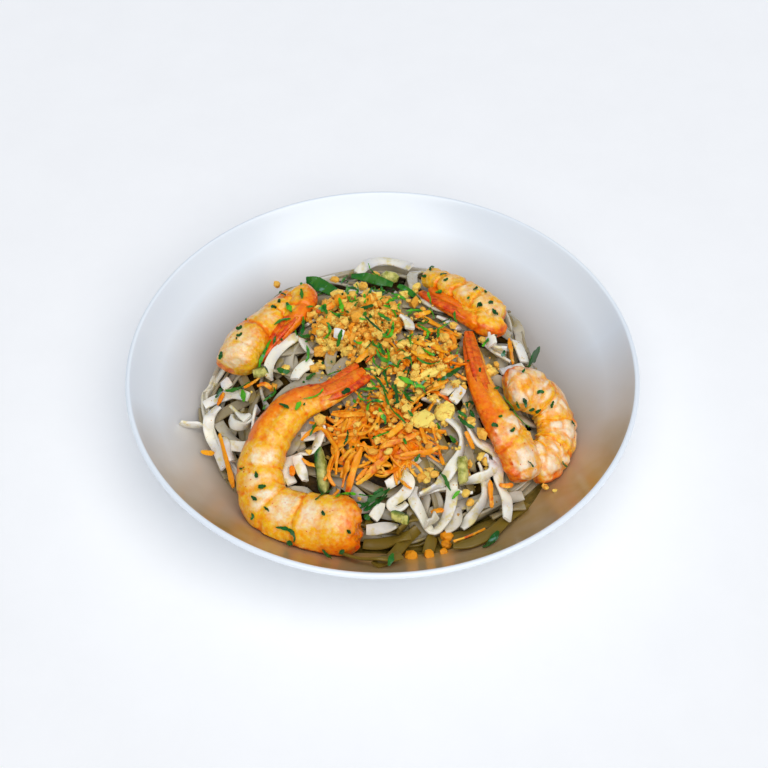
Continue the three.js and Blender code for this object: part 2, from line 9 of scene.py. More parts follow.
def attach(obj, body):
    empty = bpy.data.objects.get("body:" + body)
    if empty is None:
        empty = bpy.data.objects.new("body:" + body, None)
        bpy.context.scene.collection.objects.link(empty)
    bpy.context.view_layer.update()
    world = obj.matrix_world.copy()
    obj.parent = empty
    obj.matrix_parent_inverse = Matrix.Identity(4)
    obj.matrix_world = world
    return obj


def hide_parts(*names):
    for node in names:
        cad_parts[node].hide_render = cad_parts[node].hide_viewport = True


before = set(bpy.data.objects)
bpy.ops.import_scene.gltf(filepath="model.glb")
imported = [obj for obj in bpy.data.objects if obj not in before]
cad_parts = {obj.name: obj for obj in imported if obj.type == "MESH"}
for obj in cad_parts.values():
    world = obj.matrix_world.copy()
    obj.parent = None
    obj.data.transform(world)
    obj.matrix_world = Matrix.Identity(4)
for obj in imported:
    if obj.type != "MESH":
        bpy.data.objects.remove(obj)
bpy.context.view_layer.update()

rng = np.random.default_rng(20)
mm = 0.001  # shapes are worked out in millimetres and scaled once, in finishPiece

# the view, used to lay the pieces that stand out where they are seen
view = {"place": (0.65, -438.42, 537.42), "elevation": 48.98, "lens": 71.98, "sensor": 36.0, "image": 768,
        "nearest": 540, "farthest": 800, "routeStep": 2.3}  # mm from the camera, and along a route


def viewRays(points):  # points are (across, down) in the square image
    tilt = math.radians(view["elevation"])
    focal = view["lens"] / view["sensor"] * view["image"]
    middle = view["image"] / 2
    points = np.asarray(points, float)
    across = (points[:, 0] - middle) / focal
    up = (middle - points[:, 1]) / focal
    return np.column_stack([
        across,
        math.cos(tilt) + up * math.sin(tilt),
        -math.sin(tilt) + up * math.cos(tilt),
    ])


# the two main surfaces: the bowl's inside and the smooth heap
bowl = {
    "rimRadius": 110.0, "rimHeight": 47.0, "lip": 2.6, "depth": 38.0, "flatRadius": 28.0,
    "baseThickness": 4.6, "footOuter": 41.0, "footWidth": 3.6, "footRecess": 3.4,
    "sides": 200, "wallSteps": 36, "lipSteps": 12,
}
heap = {"crown": 57.0, "drop": 32.0, "radius": 82.0, "power": 2.8, "edge": 79.0,
        "bed": 3.0, "wallGap": 0.7, "skin": 0.35}  # the bed is how deep the noodles lie that carry a topping

insideRadius = bowl["rimRadius"] - bowl["lip"]
floorHeight = bowl["rimHeight"] - bowl["depth"]
wallSweep = 2 * math.atan(bowl["depth"] / (insideRadius - bowl["flatRadius"]))
wallRadius = (insideRadius - bowl["flatRadius"]) / math.sin(wallSweep)


def wallHeight(radius):
    across = np.clip((radius - bowl["flatRadius"]) / wallRadius, 0, 0.999)
    return floorHeight + wallRadius * (1 - np.sqrt(1 - across ** 2))


def heapHeight(radius):
    return heap["crown"] - heap["drop"] * (radius / heap["radius"]) ** heap["power"]


def heapSlope(radius):
    steepest = heap["drop"] * heap["power"] / heap["radius"]
    return steepest * (radius / heap["radius"]) ** (heap["power"] - 1)


def heapNormal(x, y):
    radius = np.hypot(x, y) + 1e-6
    slope = heapSlope(radius)
    return normalised(np.stack([x * slope / radius, y * slope / radius, np.ones_like(radius)], -1))


def supportHeight(radius):  # what carries a topping: just under the noodles, or the wall
    under = heapHeight(radius) - heap["bed"] * np.sqrt(1 + heapSlope(radius) ** 2)
    return np.maximum(under, wallHeight(radius) + heap["wallGap"]) + heap["skin"]


# small maths
def normalised(vectors):
    return vectors / (np.linalg.norm(vectors, axis=-1, keepdims=True) + 1e-9)


def smoothed(values, spread):
    half = int(3 * spread) + 1
    kernel = np.exp(-0.5 * (np.arange(-half, half + 1) / spread) ** 2)
    return np.convolve(np.pad(values, half, mode="edge"), kernel / kernel.sum(), mode="valid")


def smoothStep(low, high, values):
    t = np.clip((values - low) / (high - low), 0, 1)
    return t * t * (3 - 2 * t)


def evenly(path, step):  # the same path in equal steps
    run = np.concatenate([[0], np.cumsum(np.linalg.norm(np.diff(path, axis=0), axis=1))])
    count = max(4, int(round(run[-1] / step)) + 1)
    at = np.linspace(0, run[-1], count)
    return np.column_stack([np.interp(at, run, path[:, k]) for k in range(path.shape[1])])


def throughPoints(points, step):  # a smooth curve through a few points
    p = np.array(points, float)
    p = np.vstack([2 * p[0] - p[1], p, 2 * p[-1] - p[-2]])
    t = np.linspace(0, 1, 24, endpoint=False)[:, None]
    runs = []
    for a, b, c, d in zip(p, p[1:], p[2:], p[3:]):
        runs.append(0.5 * (2 * b + (c - a) * t + (2 * a - 5 * b + 4 * c - d) * t ** 2
                           + (3 * b - a - 3 * c + d) * t ** 3))
    runs.append(p[-2:-1])
    return evenly(np.vstack(runs), step)


def anyTurn():
    return rng.uniform(0, 2 * math.pi)


def anyPhase(count=None):  # where a wave or a small turned thing starts
    return rng.uniform(0, 6.28, count)


def around(radius, turn):  # a place by its distance from the middle and its turn
    return radius * math.cos(turn), radius * math.sin(turn)


def somewhere(spread):  # a place scattered about a middle; spread is (x, width), (y, width)
    return [rng.normal(*line) for line in spread]


def noiseAt(points, size, seed=0.0):  # smooth noise from -1 to 1, size is a feature in mm
    return np.array([noise.noise(Vector(p) / size + Vector((seed, seed * 1.7, 0))) for p in points])


# the pile: a height for every place, raised by each thing laid on it
pile = {"half": 114.0, "cell": 0.6, "steepest": 1.3, "step": 0.5, "rounds": 4}
pileCells = int(2 * pile["half"] / pile["cell"]) + 1
pileLine = np.linspace(-pile["half"], pile["half"], pileCells)
pileX, pileY = np.meshgrid(pileLine, pileLine, indexing="ij")
pileRadius = np.hypot(pileX, pileY)


def cellOf(values):
    return np.clip((values + pile["half"]) / pile["cell"], 0, pileCells - 1.001)


def heightAt(layer, x, y):
    u, v = cellOf(x), cellOf(y)
    i, j = u.astype(int), v.astype(int)
    fu, fv = u - i, v - j
    return (layer[i, j] * (1 - fu) * (1 - fv) + layer[i + 1, j] * fu * (1 - fv)
            + layer[i, j + 1] * (1 - fu) * fv + layer[i + 1, j + 1] * fu * fv)


def raiseTo(layer, x, y, z):
    i = np.rint(cellOf(np.ravel(x))).astype(int)
    j = np.rint(cellOf(np.ravel(y))).astype(int)
    np.maximum.at(layer, (i, j), np.ravel(z))


def laid(layer, plan, width, thickness, roll=0.0, bridge=4.0, press=0.3, above=None):
    # a strip over a plan route comes to rest on the pile, spanning its hollows
    roll = np.broadcast_to(roll, len(plan))
    step = normalised(np.gradient(plan, axis=0))
    side = np.stack([step[:, 1], -step[:, 0]], 1)
    foot = width / 2 * abs(np.cos(roll)) + thickness / 2 * abs(np.sin(roll))
    tall = width / 2 * abs(np.sin(roll)) + thickness / 2 * abs(np.cos(roll))
    reach = np.linspace(-1, 1, 5) * foot[:, None]
    under = heightAt(layer, plan[:, :1] + side[:, :1] * reach, plan[:, 1:] + side[:, 1:] * reach)
    tilt = smoothed((under[:, 4] - under[:, 0]) / (2 * foot), 3)
    tilt = np.clip(tilt, -pile["steepest"], pile["steepest"])
    level = under - tilt[:, None] * reach
    lean = np.sqrt(1 + tilt ** 2)
    base = (1 - press) * level.max(1) + press * level.mean(1) + tall * lean
    z = base.copy()
    for _ in range(pile["rounds"]):
        z = np.maximum(base, smoothed(z, bridge))
    z = smoothed(z, 1.2)
    if above is not None:  # pressed down among the others where the pile is full
        limit = smoothed(ceilingAt(plan[:, 0], plan[:, 1]) + above, 2)
        z = np.minimum(z, limit)
    path = np.column_stack([plan, z])
    along = normalised(np.gradient(path, axis=0))
    across = normalised(np.column_stack([side, tilt]))
    over = normalised(np.cross(across, along))
    return {"path": path, "across": np.cross(along, over), "over": over, "roll": roll, "side": side,
            "tilt": tilt, "foot": foot, "tall": tall * lean, "width": width}


def addToPile(layer, strip):
    part = np.column_stack([strip["path"], strip["side"], strip["tilt"], strip["foot"], strip["tall"]])
    part = evenly(part, pile["step"])
    reach = np.linspace(-1, 1, 9) * part[:, 6:7]
    raiseTo(layer, part[:, :1] + part[:, 3:4] * reach, part[:, 1:2] + part[:, 4:5] * reach,
            part[:, 2:3] + part[:, 5:6] * reach + part[:, 7:8])


def metBy(rays, layer=None):  # where each ray first meets the heap, the wall, or a pile's top
    run = np.arange(view["nearest"], view["farthest"], pile["cell"])[None, :, None]
    at = np.array(view["place"]) + rays[:, None, :] * run
    radius = np.hypot(at[..., 0], at[..., 1])
    if layer is None:
        top = np.maximum(heapHeight(radius), wallHeight(radius) + 0.8)
    else:
        top = heightAt(layer, at[..., 0], at[..., 1])
    inside = (at[..., 2] < top) & (radius < insideRadius)
    first = inside.argmax(1)
    return at[np.arange(len(rays)), first]


def laidInView(layer, route, width, thickness, roll=0.0, bridge=4.0, press=0.3, lift=0.0):
    # the same, over the places where the route is seen; rounds bring height and place together
    rays = viewRays(throughPoints(route, view["routeStep"]))
    plan = metBy(rays)[:, :2]
    eye = np.array(view["place"])
    for _ in range(pile["rounds"]):
        plan = np.column_stack([smoothed(plan[:, 0], 1.5), smoothed(plan[:, 1], 1.5)])
        strip = laid(layer, plan, width, thickness, roll, bridge, press)
        height = strip["path"][:, 2] + lift
        plan = (eye + rays * ((height - eye[2]) / rays[:, 2])[:, None])[:, :2]
    strip["path"][:, 2] += lift
    return strip


# meshes
def stripTemplate(width, thickness, rounding, steps):  # a flat bar, 1 long, its long edges rounded
    bm = bmesh.new()
    bmesh.ops.create_cube(bm, size=1)
    bmesh.ops.scale(bm, vec=(width, thickness, 1), verts=bm.verts)

    def longEdges():
        return [e for e in bm.edges if abs(e.verts[0].co.z - e.verts[1].co.z) > 0.5]
    if rounding:
        bmesh.ops.bevel(bm, geom=longEdges(), offset=rounding, segments=1, profile=0.5, affect="EDGES",
                        material=-1)
    bmesh.ops.subdivide_edges(bm, edges=longEdges(), cuts=steps - 1, use_grid_fill=True)
    return arraysOf(bm)


def ballTemplate(kind, **size):
    bm = bmesh.new()
    kind(bm, radius=1, **size)
    return arraysOf(bm)


def arraysOf(bm):
    bmesh.ops.recalc_face_normals(bm, faces=bm.faces)
    bm.verts.index_update()
    corners = np.array([v.co[:] for v in bm.verts])
    faces = [[v.index for v in f.verts] for f in bm.faces]
    bm.free()
    return corners, faces


def bent(template, strip, taper=0.0, wave=0.0, period=5.0, rough=0.0, point=4.0):
    # the template's length follows the strip's path; taper narrows its ends, wave its sides over a
    # period, rough moves its corners and point says how late the taper starts
    corners, _ = template
    if rough:
        corners = corners + rng.normal(0, rough, corners.shape) * (1, 1, 0)
    t = corners[:, 2] + 0.5
    frameRows = np.column_stack([strip["path"], strip["across"], strip["over"], strip["roll"]])
    run = np.concatenate([[0], np.cumsum(np.linalg.norm(np.diff(strip["path"], axis=0), axis=1))])
    row = np.column_stack([np.interp(t * run[-1], run, frameRows[:, k]) for k in range(10)])
    across, over, roll = row[:, 3:6], row[:, 6:9], row[:, 9:10]
    wide = across * np.cos(roll) + over * np.sin(roll)
    thick = over * np.cos(roll) - across * np.sin(roll)
    ends = 1 - taper * np.abs(2 * t - 1) ** point
    ends = ends * (1 + wave * np.sin(t * run[-1] / period + strip["path"][0, 0]))
    return row[:, :3] + wide * (corners[:, :1] * ends[:, None]) + thick * corners[:, 1:2]


def bentCopy(template, strip, *shape, widen=1.0):
    corners, faces = template
    return bent((corners * (widen, 1, 1), faces), strip, *shape), faces


def finishPiece(name, copies, material, replaces=(), values=None, sharp=50, smooth=True):
    # one mesh from many copies [(corners, faces), ...], turned to metres and given to the frame
    corners, faces, first = [], [], 0
    for points, sides in copies:
        corners.append(points)
        faces += [[first + k for k in side] for side in sides] if first else sides
        first += len(points)
    mesh = bpy.data.meshes.new(name)
    mesh.from_pydata((np.vstack(corners) * mm).tolist(), [], faces)
    for key, value in (values or {}).items():
        value = np.asarray(value, np.float32)
        if value.ndim == 1:
            mesh.attributes.new(key, "FLOAT", "POINT").data.foreach_set("value", value)
        else:
            mesh.attributes.new(key, "FLOAT_COLOR", "POINT").data.foreach_set("color", value.ravel())
    mesh.validate()
    if smooth:
        mesh.polygons.foreach_set("use_smooth", np.ones(len(mesh.polygons), bool))
        mesh.set_sharp_from_angle(angle=math.radians(sharp))
    piece = bpy.data.objects.new(name, mesh)
    bpy.context.scene.collection.objects.link(piece)
    piece.data.materials.append(material)
    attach(piece, "root")
    for node in replaces:
        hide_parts(node)
    return piece


def perCopy(copies, numbers):  # one number for each copy, spread over its corners
    return np.concatenate([np.full(len(points), number) for (points, _), number in zip(copies, numbers)])


# materials
def toLinear(colour):
    parts = [int(colour[i:i + 2], 16) / 255 for i in (0, 2, 4)]
    return [c / 12.92 if c <= 0.04045 else ((c + 0.055) / 1.055) ** 2.4 for c in parts] + [1.0]


def addNode(tree, kind, inputs=None, **settings):
    node = tree.nodes.new(kind)
    for key, value in settings.items():
        setattr(node, key, value)
    for key, value in (inputs or {}).items():
        if isinstance(value, bpy.types.NodeSocket):
            tree.links.new(value, node.inputs[key])
        else:
            node.inputs[key].default_value = value
    return node


def startMaterial(name, **fixed):
    material = bpy.data.materials.new(name)
    material.use_nodes = True
    tree = material.node_tree
    shader = tree.nodes["Principled BSDF"]
    for key, value in fixed.items():
        shader.inputs[key].default_value = value
    place = addNode(tree, "ShaderNodeTexCoord").outputs["Object"]
    return material, tree, shader, place


def noiseFrom(tree, place, size, detail, roughness=0.5):  # size is a feature in mm
    return addNode(tree, "ShaderNodeTexNoise", {
        "Vector": place, "Scale": 1000 / size, "Detail": detail, "Roughness": roughness}).outputs["Fac"]


def ranged(tree, value, low, high, first=0.0, last=1.0):
    return addNode(tree, "ShaderNodeMapRange", {
        "Value": value, "From Min": low, "From Max": high, "To Min": first, "To Max": last,
    }).outputs["Result"]


def spots(tree, place, size, low, high, detail=3.0):  # a mask from noise, faded in between low and high
    return ranged(tree, noiseFrom(tree, place, size, detail, 0.6), low, high)


def worked(tree, operation, *values, clamp=False):
    return addNode(tree, "ShaderNodeMath", dict(enumerate(values)), operation=operation,
                   use_clamp=clamp).outputs[0]


def times(tree, first, second):
    return worked(tree, "MULTIPLY", first, second)


def frayed(tree, place, amount, size, strength):  # a mask whose edge breaks up into specks and veins
    shift = worked(tree, "MULTIPLY_ADD", noiseFrom(tree, place, size, 4.0, 0.65), strength, -strength / 2)
    return worked(tree, "ADD", amount, shift, clamp=True)


def layered(tree, shade, *layers):  # colours over one another, each let through by its mask
    for mask, colour in layers:
        under, over = [toLinear(c) if isinstance(c, str) else c for c in (shade, colour)]
        shade = addNode(tree, "ShaderNodeMix", {0: mask, 6: under, 7: over}, data_type="RGBA").outputs[2]
    return shade


def attributeOf(tree, name, output="Fac"):
    return addNode(tree, "ShaderNodeAttribute", attribute_name=name).outputs[output]


def surfaced(tree, shader, place, shade, grain, detail, strength, depth):
    # the colour, and a bump from noise with its grain and depth in mm
    tree.links.new(shade, shader.inputs["Base Color"])
    bump = addNode(tree, "ShaderNodeBump", {
        "Height": noiseFrom(tree, place, grain, detail), "Strength": strength, "Distance": depth * mm})
    tree.links.new(bump.outputs[0], shader.inputs["Normal"])


def glazedPorcelain():  # white hotel porcelain, dipped and fired: a deep even gloss on a cool white
    material, tree, shader, place = startMaterial("glazedPorcelain", **{
        "Roughness": 0.3, "IOR": 1.5, "Coat Weight": 0.5, "Coat Roughness": 0.2, "Coat IOR": 1.55})
    axes = addNode(tree, "ShaderNodeSeparateXYZ", {"Vector": place}).outputs
    inside = attributeOf(tree, "inside")
    forward = worked(tree, "SUBTRACT", times(tree, axes["X"], 0.2), axes["Y"])
    uneven = ranged(tree, spots(tree, place, 25, 0.3, 0.7), 0.0, 1.0, 0.8, 1.0)
    # oil at the front of the wall, partly painted shade and painted reflection of the food
    oilFilmAndPaintedShade = times(tree, times(tree, ranged(tree, forward, -0.003, 0.071), inside), uneven)
    # painted shade and reflection of the food on the wall just above the heap
    paintedShadeBand = times(tree, times(tree, ranged(tree, axes["Z"], 0.036, 0.022), inside), 0.75)
    shade = layered(tree, "F2F8FD", (spots(tree, place, 60, 0.35, 0.65), "EDF4FB"),
                    (paintedShadeBand, "A89A8E"),  # painted shade and reflection of the food, a grey band just above the heap
                    (oilFilmAndPaintedShade, "BC944A"))  # oil from the noodles has run to the front, deepened as painted shade and painted reflection of the food on the near wall
    surfaced(tree, shader, place, shade, 18, 2.0, 0.03, 0.4)  # the faint orange peel of a thick glaze
    return material


def riceNoodle():  # extruded rice paste, boiled and tossed in oil: pale, waxy, a little see-through
    material, tree, shader, place = startMaterial("riceNoodle", **{
        "Roughness": 0.34, "Specular IOR Level": 0.3, "Subsurface Weight": 0.2, "Subsurface Scale": 0.001,
        "Subsurface Radius": (1.0, 0.85, 0.7), "Coat Weight": 0.15, "Coat Roughness": 0.14})
    atEdge = ranged(tree, attributeOf(tree, "edge"), 0.3, 1.0, 0.0, 0.85)
    oil = times(tree, spots(tree, place, 5, 0.52, 0.66), atEdge)
    shade = layered(tree, "FBF6E2", (spots(tree, place, 10, 0.38, 0.64), "E9E8EA"),
                    (oil, "E8D468"),  # turmeric oil gathers along the cut edges
                    (spots(tree, place, 2.0, 0.68, 0.73, 2.0), "D79A2C"),
                    (attributeOf(tree, "tint"), "7A6420"))  # the lowest noodles steep in the sauce; buried and low ones are darkened further as painted shade
    surfaced(tree, shader, place, shade, 1.6, 3.0, 0.16, 0.2)
    return material


def shadedSaucedDepths():  # packed noodles soaked in dark sauce, seen only between the ones on top; the near-black brown is painted shade for the deep gaps
    material, tree, shader, place = startMaterial("shadedSaucedDepths", **{
        "Roughness": 0.45, "Specular IOR Level": 0.1})
    # dark sauce brown, deepened to near-black as painted shade
    shade = layered(tree, "241604", (spots(tree, place, 6, 0.4, 0.62), "5E4414"))
    surfaced(tree, shader, place, shade, 4, 4.0, 0.6, 1.5)
    return material


def rawCarrot():  # carrot cut on a mandoline: vivid and damp, with wet glints, and paler spots that are painted highlights
    material, tree, shader, place = startMaterial("rawCarrot", **{
        "Roughness": 0.35, "Specular IOR Level": 0.2, "Subsurface Weight": 0.15, "Subsurface Scale": 0.001,
        "Subsurface Radius": (1.0, 0.4, 0.1), "Coat Weight": 0.1, "Coat Roughness": 0.12})
    # the yellow of the strips that catch the light is partly painted highlight, and the paler spots are
    # painted highlights
    shade = layered(tree, "F27C06", (attributeOf(tree, "tint"), "FFB41C"),
                    (spots(tree, place, 4, 0.5, 0.68), "FFC444"),
                    (spots(tree, place, 6, 0.56, 0.7), "D8560A"))
    surfaced(tree, shader, place, shade, 0.9, 3.0, 0.45, 0.3)
    return material


def roastedPeanut():  # roasted and crushed: dry golden faces, paler where freshly broken
    material, tree, shader, place = startMaterial("roastedPeanut", **{
        "Roughness": 0.45, "Specular IOR Level": 0.15, "Subsurface Weight": 0.12, "Subsurface Scale": 0.0008,
        "Subsurface Radius": (1.0, 0.6, 0.3)})
    shade = layered(tree, "F09A1C", (attributeOf(tree, "tint"), "FFE474"),
                    (spots(tree, place, 2.2, 0.54, 0.72), "D07A12"))
    surfaced(tree, shader, place, shade, 0.6, 3.0, 0.5, 0.25)
    return material


def cookedPrawn():  # boiled and tossed in chilli oil: milky flesh, stained yellow to red, wet sheen
    material, tree, shader, place = startMaterial("cookedPrawn", **{
        "Roughness": 0.28, "Specular IOR Level": 0.25, "Subsurface Weight": 0.2, "Subsurface Scale": 0.0012,
        "Subsurface Radius": (1.0, 0.55, 0.25), "Coat Weight": 0.2, "Coat Roughness": 0.08})
    parts = addNode(tree, "ShaderNodeSeparateColor", {"Color": attributeOf(tree, "stain", "Color")}).outputs
    fine = spots(tree, place, 2.4, 0.36, 0.66, 4.0)
    mottle, streaks = spots(tree, place, 2.0, 0.4, 0.6, 4.0), spots(tree, place, 2.6, 0.25, 0.5)
    flesh = layered(tree, "FFF2D6", (spots(tree, place, 5, 0.42, 0.64), "FFE2B0"),
                    (attributeOf(tree, "stain", "Alpha"), "FFDFCC"))
    shade = layered(
        tree, flesh,
        (frayed(tree, place, parts["Red"], 1.8, 1.5), layered(tree, "FFAA08", (fine, "FFD02C"))),
        (frayed(tree, place, parts["Green"], 1.3, 1.3), layered(tree, "F56C00", (fine, "FF9006"))),
        (times(tree, parts["Blue"], streaks), layered(tree, "F2500E", (mottle, "B4200A"))),
        (spots(tree, place, 1.3, 0.74, 0.78, 1.0), "D8480C"))  # chilli flecks
    surfaced(tree, shader, place, shade, 1.8, 4.0, 0.3, 0.35)
    return material


def freshHerb():  # coriander and spring onion cut into threads: thin, bright, darker on the back
    material, tree, shader, place = startMaterial("freshHerb", **{
        "Roughness": 0.4, "Specular IOR Level": 0.25, "Subsurface Weight": 0.1, "Subsurface Scale": 0.0006,
        "Subsurface Radius": (0.4, 1.0, 0.2)})
    shade = layered(tree, "0A3A18", (attributeOf(tree, "tint"), "62C41E"),
                    (spots(tree, place, 4, 0.5, 0.64), "1A6A28"),
                    (spots(tree, place, 6, 0.62, 0.7), "6C9A86"))
    surfaced(tree, shader, place, shade, 0.8, 2.0, 0.3, 0.15)
    return material


def friedCourgette():  # cut sticks: soft yellow-green flesh with the dark skin left on one side
    material, tree, shader, place = startMaterial("friedCourgette", **{
        "Roughness": 0.35, "Specular IOR Level": 0.25, "Subsurface Weight": 0.2, "Subsurface Scale": 0.0015,
        "Subsurface Radius": (0.8, 1.0, 0.3), "Coat Weight": 0.1, "Coat Roughness": 0.2})
    flesh = layered(tree, "D6D078", (spots(tree, place, 3, 0.4, 0.65), "8E9236"))
    rind = layered(tree, "0E3A16", (spots(tree, place, 2, 0.4, 0.6), "2C6A24"))
    shade = layered(tree, flesh, (attributeOf(tree, "skin"), rind))
    surfaced(tree, shader, place, shade, 1.5, 3.0, 0.3, 0.25)
    return material


def oilySauce():  # a thin film of oil and stock at the foot of the heap
    material, tree, shader, place = startMaterial("oilySauce", **{
        "Roughness": 0.1, "IOR": 1.47, "Coat Weight": 0.3, "Coat Roughness": 0.05})
    shade = layered(tree, "8A7430", (spots(tree, place, 8, 0.4, 0.62), "463E0E"))
    surfaced(tree, shader, place, shade, 5, 1.0, 0.15, 0.3)
    return material


porcelain, noodleSkin, paintedShadeDepths = glazedPorcelain(), riceNoodle(), shadedSaucedDepths()
carrotFlesh, peanutCrumb, prawnFlesh = rawCarrot(), roastedPeanut(), cookedPrawn()
herbLeaf, courgetteFlesh, sauceFilm = freshHerb(), friedCourgette(), oilySauce()
print("materials made")


# bowl
def spun(profile, steps):
    bm = bmesh.new()
    points = [bm.verts.new((r, 0, z)) for r, z in profile]
    edges = [bm.edges.new(pair) for pair in zip(points, points[1:])]
    bmesh.ops.spin(bm, geom=points + edges, cent=(0, 0, 0), axis=(0, 0, 1), angle=2 * math.pi,
                   steps=steps, use_merge=True)
    bmesh.ops.remove_doubles(bm, verts=bm.verts, dist=0.001)
    return arraysOf(bm)


def bowlProfile():
    turns = np.linspace(0, wallSweep, bowl["wallSteps"] + 1)
    inside = [(0.0, floorHeight)] + [
        (bowl["flatRadius"] + wallRadius * math.sin(a), floorHeight + wallRadius * (1 - math.cos(a)))
        for a in turns]
    lip = bowl["lip"] / 2
    middle = (inside[-1][0] + lip * math.sin(wallSweep), inside[-1][1] - lip * math.cos(wallSweep))
    rounded = []
    for i in range(1, bowl["lipSteps"] + 1):
        a = wallSweep + math.pi * (1 - i / bowl["lipSteps"])
        rounded.append((middle[0] + lip * math.sin(a), middle[1] - lip * math.cos(a)))
    outside = []
    for a in turns[-2:8:-1]:
        thick = bowl["baseThickness"] + (bowl["lip"] - bowl["baseThickness"]) * a / wallSweep
        outside.append((bowl["flatRadius"] + (wallRadius + thick) * math.sin(a),
                        floorHeight + wallRadius - (wallRadius + thick) * math.cos(a)))
    footInner = bowl["footOuter"] - bowl["footWidth"]
    foot = [(bowl["footOuter"] + 1, bowl["baseThickness"]), (bowl["footOuter"] + 0.3, 1.4),
            (bowl["footOuter"] - 0.6, 0.2), (bowl["footOuter"] - 1.2, 0), (footInner + 0.8, 0),
            (footInner + 0.2, 0.3), (footInner - 0.4, 1.5), (footInner - 1, bowl["footRecess"]),
            (0.0, bowl["footRecess"])]
    return inside + rounded + outside + foot


bowlCopy = spun(bowlProfile(), bowl["sides"])
bowlRadii = np.hypot(bowlCopy[0][:, 0], bowlCopy[0][:, 1])
onInside = (abs(bowlCopy[0][:, 2] - wallHeight(bowlRadii)) < 0.2) & (bowlRadii < insideRadius + 0.1)
finishPiece("bowlPorcelain", [bowlCopy], porcelain, ["bowl"], {"inside": onInside}, sharp=60)
print("bowl made")

# core: the imported noodles that only show through gaps, coloured near-black as painted shade
core = {"inset": 6.5, "dents": 2.4, "dentSize": 11.0, "ridges": 0.7, "rings": 46, "floorRings": 12,
        "sides": 150, "behind": 2.2, "wallGap": 0.5, "thinnest": 0.6, "uneven": 0.045,
        "drawnIn": ((15, 13.0), (112, 11.0), (158, 5.5)), "drawnWidth": 26}  # at which turn and how deep


def coreReach(turn):  # the heap's edge is uneven, and drawn in behind the right prawn and at the back
    wave = (np.sin(3 * turn + 1) + np.sin(7 * turn + 2) + 2) / 4
    drawn = sum(depth * np.exp(-((np.degrees(turn) - middle) / core["drawnWidth"]) ** 2)
                for middle, depth in core["drawnIn"])
    return heap["edge"] * (1 - core["uneven"] * wave) - drawn


def coreHeight(x, y):
    radius = np.hypot(x, y)
    ridges = np.sin(x / 2.1 + 2.5 * np.sin(y / 9)) * np.sin(y / 2.6 + 2.5 * np.sin(x / 11))
    dents = core["dents"] * (0.5 + 0.5 * np.sin(x / core["dentSize"] * 3 + 2 * np.sin(y / 13)))
    drop = core["inset"] * np.sqrt(1 + heapSlope(radius) ** 2)
    return heapHeight(radius) - drop - dents + core["ridges"] * ridges


def makeCore():
    rings, floorRings = core["rings"], core["floorRings"]
    profile = [(i / floorRings, 0.0) for i in range(floorRings + 1)] \
        + [(1 - i / rings, 1.0) for i in range(rings + 1)]
    corners, faces = spun(profile, core["sides"])
    turn = np.arctan2(corners[:, 1], corners[:, 0])
    corners[:, :2] *= (coreReach(turn) - core["behind"])[:, None]
    x, y = corners[:, 0], corners[:, 1]
    under = wallHeight(np.hypot(x, y)) + core["wallGap"]
    over = np.maximum(coreHeight(x, y), under + core["thinnest"])
    corners[:, 2] = np.where(corners[:, 2] > 0.5, over, under)
    finishPiece("noodleCore", [(corners, faces)], paintedShadeDepths, ["noodle_heap"])


makeCore()
inCore = pileRadius < coreReach(np.arctan2(pileY, pileX)) - core["behind"]
onCore = np.maximum(coreHeight(pileX, pileY), wallHeight(pileRadius) + core["wallGap"] + core["thinnest"])
ground = np.where(inCore, onCore, wallHeight(pileRadius) + 0.1)
print("core made")

# mounds of toppings, where filler noodles stay lower
mounds = {
    "carrotFront": {"centre": (-1, -43), "radii": (20, 14), "rise": 2.6},
    "carrotBack": {"centre": (17, -8), "radii": (14, 11), "rise": 2.6},
    "peanut": {"centre": (-12, 15), "radii": (18, 15), "rise": 3.0},
}


def moundShares(x, y):  # 0 in a mound's middle and 1 at its edge
    return {key: np.hypot((x - m["centre"][0]) / m["radii"][0], (y - m["centre"][1]) / m["radii"][1])
            for key, m in mounds.items()}


def inMound(x, y):
    return np.min(list(moundShares(x, y).values()), 0) < 1


def moundPlace(key, out):  # a place in a mound, by the share of its radii that it is out from the middle
    (cx, cy), (rx, ry) = mounds[key]["centre"], mounds[key]["radii"]
    turn = anyTurn()
    return cx + rx * out * math.cos(turn), cy + ry * out * math.sin(turn)


def ceilingAt(x, y):  # the height that toppings reach
    rise = 1.2 + sum(mounds[key]["rise"] * np.maximum(0, 1 - share ** 2)
                     for key, share in moundShares(x, y).items())
    return heapHeight(np.hypot(x, y)) + rise


# noodles
noodle = {
    "width": 4.7, "thickness": 1.2, "rounding": 0.28, "steps": 48, "shortest": 45, "longest": 120,
    "curl": 0.06, "buried": 120, "sides": 84, "fillers": 130, "tries": 800, "reach": 78,
    "buriedDepth": (3.0, 6.0), "buriedShade": (0.45, 0.95), "sideTint": (0.1, 0.7), "sideSteps": 60,
    "lowestSide": 8, "moundGap": 2.0, "topGap": 0.4, "ends": (0.12, 0.05),
}
lowNoodles = {  # at the foot of the heap in front, steeped in sauce and darkened as painted shade: routes as seen, and roll
    "footA": ([(497, 521), (482, 527), (470, 533), (454, 538), (438, 543)], 10),
    "footB": ([(499, 524), (488, 534), (474, 542), (456, 546)], 10),
    "footC": ([(419, 528), (408, 538), (398, 550), (390, 559), (374, 566)], 25),
    "footD": ([(433, 535), (430, 545), (427, 555)], 20),
    "footE": ([(364, 523), (381, 527), (398, 526)], 10),
    "footF": ([(362, 538), (385, 541), (411, 535)], 0),
    "footG": ([(340, 553), (362, 560), (388, 559), (402, 555)], 15),
    "footH": ([(397, 533), (408, 523), (417, 516)], 30),
    "footI": ([(526, 506), (518, 513), (509, 517), (500, 522)], 5),
    "footLong": ([(527, 503), (508, 518), (493, 532), (471, 543), (452, 546)], 10),
    "rightStep": ([(526, 505), (515, 508), (503, 513), (490, 519)], 5),
}
